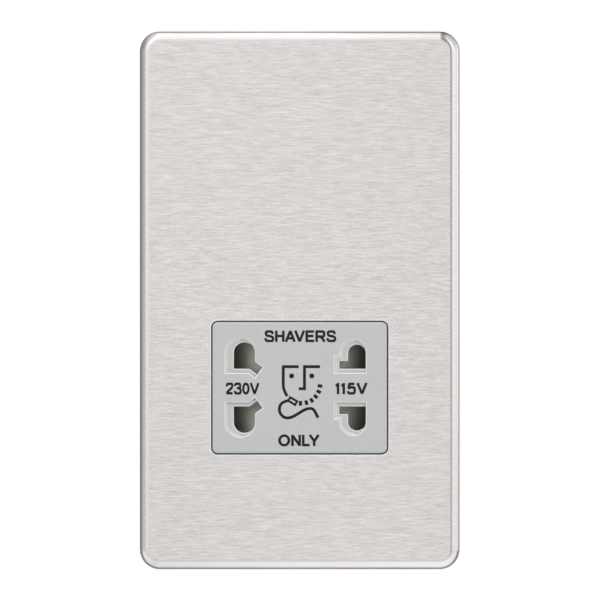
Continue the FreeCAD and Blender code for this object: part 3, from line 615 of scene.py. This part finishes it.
fixing = {
    "headRadius": 0.0032, "headHeight": 0.0019, "headSides": 48, "headEase": 0.0006, "headSteps": 4,
    "slotWidth": 0.0009, "slotDepth": 0.0009, "neckRadius": 0.0015, "neckEase": 0.0002, "neckSteps": 2,
    "rootRadius": 0.00142, "crestRadius": 0.00174, "pitch": 0.0006, "flat": 0.00008, "tipLength": 0.0008,
    "tipSteps": 2, "coreSides": 32, "turnSteps": 24, "overlap": 0.0001, "threadStart": 0.0001,
}
clamp = {
    "headHeight": 0.0018, "headSides": 48, "headEase": 0.0003, "headSteps": 3, "slotWidth": 0.0007,
    "slotDepth": 0.0008, "crossLength": 0.0030, "shankRadius": 0.00175, "shankSides": 32, "shankEase": 0.0003,
    "shankSteps": 2, "overlap": 0.0001,
}


def addThread(start, end, x, z):
    # A ridge wound round the y axis from start to end, drawn once as a profile and turned by the Screw modifier
    root, crest, pitch, flat = fixing["rootRadius"], fixing["crestRadius"], fixing["pitch"], fixing["flat"]
    clearSelection()
    bpy.ops.mesh.primitive_plane_add(size=pitch, location=(0, 0, 0))
    ridge = bpy.context.object
    sunk = root - fixing["overlap"]
    profile = [(sunk, -pitch / 2), (sunk, pitch / 2), (crest, -flat), (crest, flat)]
    for v, (radius, y) in zip(sorted(ridge.data.vertices, key=lambda v: (v.co.x, v.co.y)), profile):
        v.co = (radius, y, 0)
    applyModifier(
        ridge, "SCREW", axis="Y", angle=2 * math.pi, screw_offset=pitch, iterations=int((end - start) / pitch) - 1,
        steps=fixing["turnSteps"], render_steps=fixing["turnSteps"], use_merge_vertices=False,
    )
    ys = [v.co.y for v in ridge.data.vertices]
    ridge.location = (x, start - min(ys) + fixing["threadStart"], z)
    applyPlace(ridge)
    turnOutward(ridge)
    return ridge


def easeRing(rod, y, offset, steps):
    pickEdges(rod, lambda a, b: bothAt(a, b, y))
    bevelPicked(offset, steps)


def makeFixingScrews():
    low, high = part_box("fixing_screws")
    reach, seat, sides = fixing["headRadius"], low.y + fixing["headHeight"], fixing["coreSides"]
    half, depth = fixing["slotWidth"] / 2, low.y + fixing["slotDepth"]
    pieces = []
    for z in (low.z + reach, high.z - reach):
        head = addRod("head", reach, (0, low.y, z), (0, seat, z), fixing["headSides"])
        easeRing(head, low.y, fixing["headEase"], fixing["headSteps"])
        cutAway(head, addBlock("slot", (-reach, low.y - past, z - half), (reach, depth, z + half)))
        core = addRod("core", fixing["rootRadius"], (0, seat - fixing["overlap"], z), (0, high.y, z), sides)
        easeRing(core, high.y, fixing["tipLength"], fixing["tipSteps"])
        neck = addRod("neck", fixing["neckRadius"], (0, seat - fixing["overlap"], z), (0, 0, z), sides)
        easeRing(neck, 0, fixing["neckEase"], fixing["neckSteps"])
        pieces += [head, core, neck, addThread(0, high.y - fixing["tipLength"], 0, z)]
    screws = joinPieces(pieces, "fixingScrewsThreaded")
    smoothFaces(screws)
    finishPiece(screws, "unit", "zinc_steel", finishes["zincSteel"], "fixing_screws")


def makeTerminalScrews():
    # Slotted cheese heads, with a cross for either driver, over the plain shanks of the clamps
    low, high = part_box("terminal_screws")
    z, reach = (low.z + high.z) / 2, (high.z - low.z) / 2
    pitch = (high.x - low.x) / 2 - reach
    half, cross, depth = clamp["slotWidth"] / 2, clamp["crossLength"] / 2, high.y - clamp["slotDepth"]
    seat = high.y - clamp["headHeight"]
    pieces = []
    for x in (-pitch, 0, pitch):
        head = addRod("head", reach, (x, seat, z), (x, high.y, z), clamp["headSides"])
        easeRing(head, high.y, clamp["headEase"], clamp["headSteps"])
        cutAway(head, addBlock("slot", (x - reach, depth, z - half), (x + reach, high.y + past, z + half)))
        cutAway(head, addBlock("cross", (x - half, depth, z - cross), (x + half, high.y + past, z + cross)))
        shank = addRod(
            "shank", clamp["shankRadius"], (x, low.y, z), (x, seat + clamp["overlap"], z), clamp["shankSides"]
        )
        easeRing(shank, low.y, clamp["shankEase"], clamp["shankSteps"])
        pieces += [head, shank]
    screws = joinPieces(pieces, "terminalScrewsSlotted")
    smoothFaces(screws)
    finishPiece(screws, "unit", "zinc_steel", finishes["zincSteel"], "terminal_screws")


makeFixingScrews()
makeTerminalScrews()
print("screws ready")


# What the shutter moves: two coil springs, and the bump of the switch's leaf

mechanism = {
    "wire": 0.0005, "wireSides": 10, "turns": 6, "turnSteps": 24, "wireAngle": 50, "leafFront": 0.0053,
    "bumpHalf": 0.0012, "bumpLow": -0.0256, "bumpHigh": -0.0224, "bumpEase": 0.0003, "bumpSteps": 4,
    "bumpKept": 0.64,
}


def makeShutterSprings():
    # One end stays at the wall of the insert's tray and the other goes with the shutter
    wire, turns, sides = mechanism["wire"], mechanism["turns"], mechanism["wireSides"]
    for side, nodeName, pieceName in (
        (-1, "shutter_spring_left", "shutterSpringLeft"), (1, "shutter_spring_right", "shutterSpringRight"),
    ):
        low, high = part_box(nodeName)
        middle, length = (low + high) / 2, high.x - low.x
        clearSelection()
        bpy.ops.mesh.primitive_circle_add(radius=wire / 2, vertices=sides, rotation=(math.pi / 2, 0, 0))
        coil = bpy.context.object
        coil.name = pieceName
        coil.location.z = (high.z - low.z - wire) / 2
        applyPlace(coil)
        applyModifier(
            coil, "SCREW", axis="X", angle=2 * math.pi, screw_offset=(length - wire) / turns, iterations=turns,
            steps=mechanism["turnSteps"], render_steps=mechanism["turnSteps"], use_merge_vertices=False,
        )
        coil.location = (low.x + wire / 2, middle.y, middle.z)
        applyPlace(coil)
        turnOutward(coil, openSides=sides)
        smoothFaces(coil, mechanism["wireAngle"])
        finishPiece(coil, None, "spring_steel", finishes["springSteel"], nodeName)
        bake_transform(coil)


def makeSwitchLeaf():
    # The shutter slides over the leaf's bump and presses it back, so the bump is a piece of its own
    front, half = mechanism["leafFront"], mechanism["bumpHalf"]
    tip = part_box("switch_leaf_moving")[0].y
    bump = addBlock("switchLeafBump", (-half, tip, mechanism["bumpLow"]), (half, front, mechanism["bumpHigh"]))
    pickEdges(bump, lambda a, b: bothAt(a, b, tip))
    bpy.ops.transform.resize(value=(0, 1, 1))
    bpy.ops.mesh.remove_doubles(threshold=tiny)
    bevelPicked(mechanism["bumpEase"], mechanism["bumpSteps"])
    smoothFaces(bump)
    finishPiece(bump, "unit", "brass", finishes["brassStrip"], "switch_leaf_moving")
    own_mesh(bump)

    strip = linkCopy("switch_leaf_moving", "switchLeafStrip")
    for v in strip.data.vertices:
        v.co.y = max(v.co.y, front)
    mergeMesh(strip, dropSlivers=True)
    smoothFaces(strip)
    finishPiece(strip, "unit", "brass", finishes["brassStrip"], "switch_leaf_moving")


makeShutterSprings()
makeSwitchLeaf()
print("shutter springs and switch leaf ready")


# The other CAD nodes keep their shape and get their finish

nodeFinishes = {
    "plate_studs": "zincSteel",
    "contact_carrier": "carrierNatural", "carrier_cover": "carrierNatural",
    "contact_230v_upper": "brassStrip", "contact_230v_lower": "brassStrip",
    "contact_115v_upper": "brassStrip", "contact_115v_lower": "brassStrip",
    "switch_leaf_fixed": "brassStrip",
    "transformer_core": "coreSteel", "transformer_bobbin": "bobbinWhite", "primary_winding": "windingCopper",
    "secondary_winding": "windingCopper", "thermal_cutout": "cutoutCase",
    "live_terminal": "brassStrip", "earth_terminal": "brassStrip", "neutral_terminal": "brassStrip",
    "earth_spring": "springSteel", "housing_screws": "zincSteel",
    "insert_screws": "zincSteel", "carrier_screws": "zincSteel", "core_screws": "zincSteel",
    "earth_screw": "zincSteel",
}


def dressNodes():
    for nodeName, finish in nodeFinishes.items():
        node = nodes[nodeName]
        node.data.materials.clear()
        node.data.materials.append(finishes[finish])
        makeActive(node)
        bpy.ops.object.shade_smooth_by_angle(angle=math.radians(smoothAngle))


dressNodes()
print("nodes dressed:", len(nodeFinishes))


# Print on the insert, measured from the insert's middle. Letters are strokes in units of the capitals' height.

printed = {
    "insertZ": -0.0239, "frontY": -0.0062, "thickness": 0.00003, "capHeight": 0.00308, "letterStroke": 0.00070,
    "words": [
        ("SHAVERS", 0.00015, 0.01250, 0.01983), ("ONLY", -0.00020, -0.01615, 0.01141),
        ("230V", -0.01570, -0.00190, 0.00930), ("115V", 0.01420, -0.00190, 0.00890),
    ],
    "lineStroke": 0.00080,
    "bars": [
        ((-0.00485, 0.00567), (-0.00028, 0.00567)), ((0.00098, 0.00567), (0.00558, 0.00567)),
        ((-0.00028, -0.00040), (0.00164, -0.00040)), ((0.00131, 0.00600), (0.00131, -0.00073)),
    ],
    "cheek": [
        (-0.00452, 0.00600), (-0.00452, 0.00250), (-0.00455, 0.00030), (-0.00425, -0.00100), (-0.00345, -0.00245),
    ],
    "eyes": [(-0.00223, 0.00312), (0.00330, 0.00312)], "eyeRadius": 0.00068, "eyeHalf": 0.0003, "eyeSides": 24,
    "head": [(-0.00262, -0.00275), (-0.00072, -0.00387), (-0.00129, -0.00483), (-0.00312, -0.00371)],
    "headStroke": 0.00062,
    "lead": [
        (-0.00282, -0.00357), (-0.00469, -0.00397), (-0.00563, -0.00530), (-0.00551, -0.00717), (-0.00420, -0.00844),
        (-0.00243, -0.00840), (-0.00037, -0.00723), (0.00160, -0.00597), (0.00356, -0.00573), (0.00439, -0.00703),
        (0.00506, -0.00837),
    ],
    "dashes": [
        (0.00558, 0.00037), (0.00523, -0.00122), (0.00440, -0.00254), (0.00330, -0.00359), (0.00184, -0.00422),
        (0.00019, -0.00439),
    ],
    "dashLength": 0.00128, "dashWidth": 0.00090, "dashCentre": (0.0003, 0.0012),
}

# Each letter: its width, then its strokes as ("line", points), ("curve", points) or ("ring", middle, radii)
letters = {
    "S": (0.80, [("curve", [(0.69, 0.69), (0.68, 0.92), (0.40, 0.92), (0.10, 0.92), (0.10, 0.58), (0.42, 0.51),
                            (0.73, 0.44), (0.73, 0.08), (0.40, 0.08), (0.10, 0.08), (0.06, 0.33)])]),
    "H": (0.80, [("line", [(0.09, 0), (0.09, 1)]), ("line", [(0.71, 0), (0.71, 1)]),
                 ("line", [(0.09, 0.52), (0.71, 0.52)])]),
    "A": (0.93, [("line", [(0.08, 0), (0.465, 0.97)]), ("line", [(0.85, 0), (0.465, 0.97)]),
                 ("line", [(0.20, 0.32), (0.73, 0.32)])]),
    "V": (0.93, [("line", [(0.08, 1), (0.465, 0.03)]), ("line", [(0.85, 1), (0.465, 0.03)])]),
    "E": (0.75, [("line", [(0.09, 0), (0.09, 1)]), ("line", [(0.01, 0.917), (0.74, 0.917)]),
                 ("line", [(0.09, 0.52), (0.69, 0.52)]), ("line", [(0.01, 0.083), (0.75, 0.083)])]),
    "R": (0.86, [("line", [(0.09, 0), (0.09, 1)]),
                 ("curve", [(0.01, 0.917), (0.45, 0.917), (0.76, 0.917), (0.76, 0.47), (0.45, 0.47), (0.09, 0.47)]),
                 ("curve", [(0.42, 0.47), (0.56, 0.40), (0.80, 0.0)])]),
    "O": (0.98, [("ring", (0.49, 0.5), (0.40, 0.43))]),
    "N": (0.80, [("line", [(0.09, 0), (0.09, 1)]), ("line", [(0.71, 0), (0.71, 1)]),
                 ("line", [(0.09, 0.95), (0.71, 0.05)])]),
    "L": (0.63, [("line", [(0.09, 0), (0.09, 1)]), ("line", [(0.01, 0.083), (0.63, 0.083)])]),
    "Y": (0.92, [("line", [(0.08, 1), (0.46, 0.43)]), ("line", [(0.84, 1), (0.46, 0.43)]),
                 ("line", [(0.46, 0), (0.46, 0.47)])]),
    "0": (0.69, [("ring", (0.345, 0.5), (0.26, 0.43))]),
    "1": (0.69, [("line", [(0.40, 0), (0.40, 1)]), ("curve", [(0.40, 0.93), (0.33, 0.80), (0.19, 0.74)])]),
    "2": (0.69, [("curve", [(0.08, 0.69), (0.09, 0.93), (0.36, 0.93), (0.63, 0.93), (0.62, 0.62), (0.40, 0.42),
                            (0.14, 0.22), (0.09, 0.08)]), ("line", [(0.03, 0.083), (0.65, 0.083)])]),
    "3": (0.69, [("curve", [(0.08, 0.72), (0.10, 0.93), (0.34, 0.93), (0.60, 0.93), (0.60, 0.54), (0.26, 0.54)]),
                 ("curve", [(0.26, 0.54), (0.64, 0.54), (0.64, 0.07), (0.34, 0.07), (0.08, 0.07), (0.06, 0.30)])]),
    "5": (0.69, [("line", [(0.61, 0.917), (0.15, 0.917)]), ("line", [(0.175, 0.98), (0.10, 0.48)]),
                 ("curve", [(0.09, 0.46), (0.20, 0.62), (0.38, 0.62), (0.64, 0.60), (0.64, 0.07), (0.32, 0.07),
                            (0.08, 0.07), (0.06, 0.28)])]),
}
letterGap = 0.13
strokeSteps = 2
ringPoints, ringPull = 8, 0.925  # a quadratic spline keeps to this share of the radius of so many control points
closePairs = {"HA": 0.06, "AV": -0.10, "VE": 0.07, "LY": -0.06, "0V": 0.06, "11": -0.19, "15": 0.03, "5V": 0.12}


def addStroke(points, width, kind="line"):
    # A drawn line in the xz plane, as a tube that is flattened later
    curve = bpy.data.curves.new("stroke", "CURVE")
    curve.dimensions = "3D"
    spline = curve.splines.new("POLY" if kind == "line" else "NURBS")
    spline.points.add(len(points) - 1)
    for point, (x, z) in zip(spline.points, points):
        point.co = (x, 0, z, 1)
    if kind != "line":
        spline.order_u = 3
        spline.use_endpoint_u = kind == "curve"
        spline.use_cyclic_u = kind == "ring"
    curve.bevel_depth = width / 2
    curve.bevel_resolution = strokeSteps
    curve.use_fill_caps = True
    piece = bpy.data.objects.new("stroke", curve)
    bpy.context.scene.collection.objects.link(piece)
    makeActive(piece)
    bpy.ops.object.convert(target="MESH")
    return piece


def addRing(middle, radii, width):
    reach = [radius / ringPull for radius in radii]
    turns = [math.radians(360 / ringPoints * i) for i in range(ringPoints)]
    points = [(middle[0] + reach[0] * math.cos(t), middle[1] + reach[1] * math.sin(t)) for t in turns]
    return addStroke(points, width, "ring")


def addWord(word, centreX, baseZ, width):
    height, stroke = printed["capHeight"], printed["letterStroke"]
    pieces, x = [], 0
    for i, character in enumerate(word):
        span, strokes = letters[character]
        for kind, *shape in strokes:
            if kind == "ring":
                (mx, mz), (rx, rz) = shape
                pieces.append(addRing(((x + mx) * height, mz * height), (rx * height, rz * height), stroke))
            else:
                pieces.append(addStroke([((x + px) * height, pz * height) for px, pz in shape[0]], stroke, kind))
        x += span + closePairs.get(word[i:i + 2], letterGap)
    joined = joinPieces(pieces, "word")
    xs = [v.co.x for v in joined.data.vertices]
    stretch = width / (max(xs) - min(xs))
    joined.scale = (stretch, 1, 1)
    joined.location = (centreX - stretch * (max(xs) + min(xs)) / 2, 0, baseZ)
    applyPlace(joined)
    return joined


def addDash(x, z):
    centreX, centreZ = printed["dashCentre"]
    clearSelection()
    turn = -math.atan2(z - centreZ, x - centreX)
    bpy.ops.mesh.primitive_cube_add(size=1, location=(x, 0, z), rotation=(0, turn, 0))
    dash = bpy.context.object
    dash.scale = (printed["dashLength"], printed["lineStroke"], printed["dashWidth"])
    applyPlace(dash)
    return dash


def squareEnds(start, end):
    # The side runs on by half its width at both ends, which squares the head's corners
    half = printed["headStroke"] / 2
    length = math.dist(start, end)
    dx, dz = (end[0] - start[0]) * half / length, (end[1] - start[1]) * half / length
    return (start[0] - dx, start[1] - dz), (end[0] + dx, end[1] + dz)


def pressFlat(drawing, baseY, thickness):
    # Every stroke is pressed flat to the ink's own thickness on the face that it is printed on
    depths = [v.co.y for v in drawing.data.vertices]
    near, far = min(depths), max(depths)
    for v in drawing.data.vertices:
        v.co.y = baseY + thickness * (v.co.y - near) / (far - near)


def makePrint():
    pieces = [addWord(*word) for word in printed["words"]]
    stroke, eyeHalf = printed["lineStroke"], printed["eyeHalf"]
    pieces += [addStroke(bar, stroke) for bar in printed["bars"]]
    pieces.append(addStroke(printed["cheek"], stroke, "curve"))
    pieces.append(addStroke(printed["lead"], stroke, "curve"))
    pieces += [
        addRod("eye", printed["eyeRadius"], (x, -eyeHalf, z), (x, eyeHalf, z), printed["eyeSides"])
        for x, z in printed["eyes"]
    ]
    head = printed["head"]
    pieces += [addStroke(squareEnds(*side), printed["headStroke"]) for side in zip(head, head[1:] + head[:1])]
    pieces += [addDash(x, z) for x, z in printed["dashes"]]
    drawing = joinPieces(pieces, "insertPrint")
    pressFlat(drawing, printed["frontY"], printed["thickness"])
    for v in drawing.data.vertices:
        v.co.z += printed["insertZ"]
    finishPiece(drawing, "unit", "insert_moulding", finishes["printInk"])
    print("print ready:", len(drawing.data.polygons), "faces")


makePrint()


# Generic pole marks over the terminals: L, the earth sign and N, read from behind

poleMarks = {
    "pitch": 0.013, "baseZ": -0.0425, "height": 0.0019, "stroke": 0.00032, "thickness": 0.00003, "middle": 0.4,
    "earthSign": [
        [(0.45, 1), (0.45, 0.5)], [(0.05, 0.5), (0.85, 0.5)], [(0.2, 0.26), (0.7, 0.26)],
        [(0.35, 0.02), (0.55, 0.02)],
    ],
}


def makePoleMarks():
    height = poleMarks["height"]
    liveMark, neutralMark = ([points for _, points in letters[letter][1]] for letter in "LN")
    pieces = []
    for place, strokes in ((1, liveMark), (-1, neutralMark), (0, poleMarks["earthSign"])):
        middle = place * poleMarks["pitch"] - poleMarks["middle"] * height
        for points in strokes:
            line = [(middle + px * height, poleMarks["baseZ"] + pz * height) for px, pz in points]
            pieces.append(addStroke(line, poleMarks["stroke"]))
    marked = joinPieces(pieces, "poleMarks")
    marked.rotation_euler = (0, 0, math.pi)
    applyPlace(marked)
    pressFlat(marked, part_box("terminal_block")[1].y, poleMarks["thickness"])
    finishPiece(marked, "unit", "block_moulding", finishes["printInk"])
    print("pole marks ready")


makePoleMarks()


# Studio: camera square to the plate, a pale floor below, soft boxes round the front and a room that metal sees

studio = {
    "cameraDistance": 2.5, "cameraX": 0.00008, "cameraZ": 0.0001, "frameWidth": 0.165, "plateFront": -0.006,
    "sensorWidth": 36, "clipEnd": 50, "floorZ": -0.16, "floorReach": 2.0, "worldFill": 0.40,
    # How bright metal sees the floor along its y and x: (place, level)
    "floorAlong": [
        (-1.0, 1.0), (-0.70, 0.98), (-0.50, 0.56), (-0.34, 0.56), (-0.26, 1.30), (-0.005, 1.30), (0.045, 0.35),
    ],
    "floorAcross": [(-0.16, 1.0), (-0.07, 0.84), (-0.02, 1.02), (0.06, 1.12), (0.16, 1.0)],
    "boxes": [
        ("softLeft", (-1.20, -1.20, 0.50), 1.0, 7.8), ("softRight", (1.20, -1.20, 0.40), 1.0, 7.4),
        ("softTop", (0.0, -0.90, 1.40), 0.9, 8.6),
    ],
    # How bright metal sees the room along x, y and z, from -1 to 1: (direction, level)
    "alongX": [
        (-1.0, 0.58), (-0.90, 0.58), (-0.72, 1.08), (-0.40, 1.26), (-0.16, 1.20), (-0.05, 1.02), (-0.015, 1.09),
        (0.015, 1.19), (0.04, 1.20), (0.085, 0.12), (0.24, 0.24), (0.44, 1.28), (0.94, 1.46), (1.0, 1.27),
    ],
    "alongY": [
        (-1.0, 1.0), (0.20, 1.0), (0.31, 0.78), (0.44, 0.50), (0.62, 0.30), (0.87, 0.12), (0.96, 0.12), (1.0, 1.0),
    ],
    "alongZ": [(-1.0, 1.0), (0.0, 1.0), (0.30, 1.28), (0.59, 1.50), (0.76, 1.62), (0.90, 1.68), (1.0, 1.74)],
    # and along three slanting lines: back to the right, and up to either side
    "alongRear": [(-1.0, 1.0), (0.70, 1.0), (0.82, 1.35), (0.93, 1.75), (1.0, 1.75)],
    "alongUpLeft": [(-1.0, 1.0), (0.72, 1.0), (0.84, 0.60), (1.0, 0.45)],
    "alongUpRight": [(-1.0, 1.0), (0.72, 1.0), (0.84, 0.55), (1.0, 0.40)],
    "slants": {"Rear": (0.7071, 0.7071, 0), "UpLeft": (-0.7071, 0, 0.7071), "UpRight": (0.7071, 0, 0.7071)},
}


def makeCamera():
    distance = studio["cameraDistance"]
    camera = bpy.data.objects.new("Camera", bpy.data.cameras.new("Camera"))
    bpy.context.scene.collection.objects.link(camera)
    camera.location = (studio["cameraX"], -distance, studio["cameraZ"])
    camera.rotation_euler = (math.radians(90), 0, 0)
    camera.data.sensor_width = studio["sensorWidth"]
    camera.data.lens = studio["sensorWidth"] * (distance + studio["plateFront"]) / studio["frameWidth"]
    camera.data.clip_end = studio["clipEnd"]
    bpy.context.scene.camera = camera


def feed(tree, socket, value):
    # A socket takes a plain level or another node's output
    if isinstance(value, float):
        socket.default_value = value
    else:
        tree.links.new(value, socket)


def multiply(tree, first, second):
    node = tree.nodes.new("ShaderNodeMath")
    node.operation = "MULTIPLY"
    feed(tree, node.inputs[0], first)
    feed(tree, node.inputs[1], second)
    return node.outputs[0]


def addRoomCurve(tree, source, points):
    # Colour ramps hold 0 to 1, so levels are halved in the ramp and doubled after it
    toRamp = tree.nodes.new("ShaderNodeMapRange")
    toRamp.inputs["From Min"].default_value = -1.0
    ramp = tree.nodes.new("ShaderNodeValToRGB")
    elements = ramp.color_ramp.elements
    while len(elements) < len(points):
        elements.new(0.5)
    for element, (direction, level) in zip(elements, points):
        element.position = (direction + 1) / 2
        element.color = (level / 2, level / 2, level / 2, 1)
    tree.links.new(source, toRamp.inputs["Value"])
    tree.links.new(toRamp.outputs["Result"], ramp.inputs["Fac"])
    return multiply(tree, ramp.outputs["Color"], 2.0)


def makeWorld():
    # White to the camera, a plain fill for the light, and a room with brighter and darker sides for metal
    world = bpy.data.worlds.new("studioWorld")
    bpy.context.scene.world = world
    world.use_nodes = True
    tree = world.node_tree
    link = tree.links.new
    background = tree.nodes["Background"]
    rays = tree.nodes.new("ShaderNodeLightPath")
    place = tree.nodes.new("ShaderNodeTexCoord")
    split = tree.nodes.new("ShaderNodeSeparateXYZ")
    link(place.outputs["Generated"], split.inputs["Vector"])
    ways = {axis: split.outputs[axis] for axis in "XYZ"}
    for name, direction in studio["slants"].items():
        slant = tree.nodes.new("ShaderNodeVectorMath")
        slant.operation = "DOT_PRODUCT"
        slant.inputs[1].default_value = direction
        link(place.outputs["Generated"], slant.inputs[0])
        ways[name] = slant.outputs["Value"]
    room = None
    for name, source in ways.items():
        level = addRoomCurve(tree, source, studio["along" + name])
        room = multiply(tree, room, level) if room else level

    def pick(factor, low, high):
        mix = tree.nodes.new("ShaderNodeMix")
        for index, value in ((0, factor), (2, low), (3, high)):
            feed(tree, mix.inputs[index], value)
        return mix.outputs[0]

    glossy = pick(rays.outputs["Is Glossy Ray"], studio["worldFill"], room)
    through = pick(rays.outputs["Is Transmission Ray"], glossy, 1.0)
    link(pick(rays.outputs["Is Camera Ray"], through, 1.0), background.inputs["Strength"])
    background.inputs["Color"].default_value = (1, 1, 1, 1)


def makeLights():
    for name, place, size, power in studio["boxes"]:
        data = bpy.data.lights.new(name, "AREA")
        data.energy = power
        data.size = size
        light = bpy.data.objects.new(name, data)
        light.location = place
        light.rotation_euler = (-Vector(place)).to_track_quat("-Z", "Y").to_euler()
        light.visible_glossy = False  # the room's brighter sides stand for the boxes in metal
        bpy.context.scene.collection.objects.link(light)


def makeFloor():
    clearSelection()
    bpy.ops.mesh.primitive_plane_add(size=2 * studio["floorReach"], location=(0, 0, studio["floorZ"]))
    floor = bpy.context.object
    floor.name = "paleFloor"
    material = makeMaterial("paleFloor", {
        "dark": (0.90, 0.90, 0.895), "light": (0.93, 0.93, 0.925), "grainSize": 60, "roughLow": 0.6, "roughHigh": 0.8,
        "bumpStrength": 0.02,
    })
    floor.data.materials.append(material)

    # Metal sees the floor at levels of its own, light in front of the wall plane and dark behind it
    tree = material.node_tree
    link = tree.links.new
    kinds = ("LightPath", "Emission", "MixShader", "TexCoord", "SeparateXYZ")
    rays, glow, mix, place, split = (tree.nodes.new("ShaderNode" + kind) for kind in kinds)
    link(place.outputs["Object"], split.inputs["Vector"])
    along = addRoomCurve(tree, split.outputs["Y"], studio["floorAlong"])
    across = addRoomCurve(tree, split.outputs["X"], studio["floorAcross"])
    link(multiply(tree, along, across), glow.inputs["Strength"])
    link(rays.outputs["Is Glossy Ray"], mix.inputs[0])
    link(tree.nodes["Principled BSDF"].outputs[0], mix.inputs[1])
    link(glow.outputs[0], mix.inputs[2])
    link(mix.outputs[0], tree.nodes["Material Output"].inputs["Surface"])


makeCamera()
makeWorld()
makeLights()
makeFloor()
bpy.context.scene.view_settings.view_transform = "Standard"
print("studio ready")
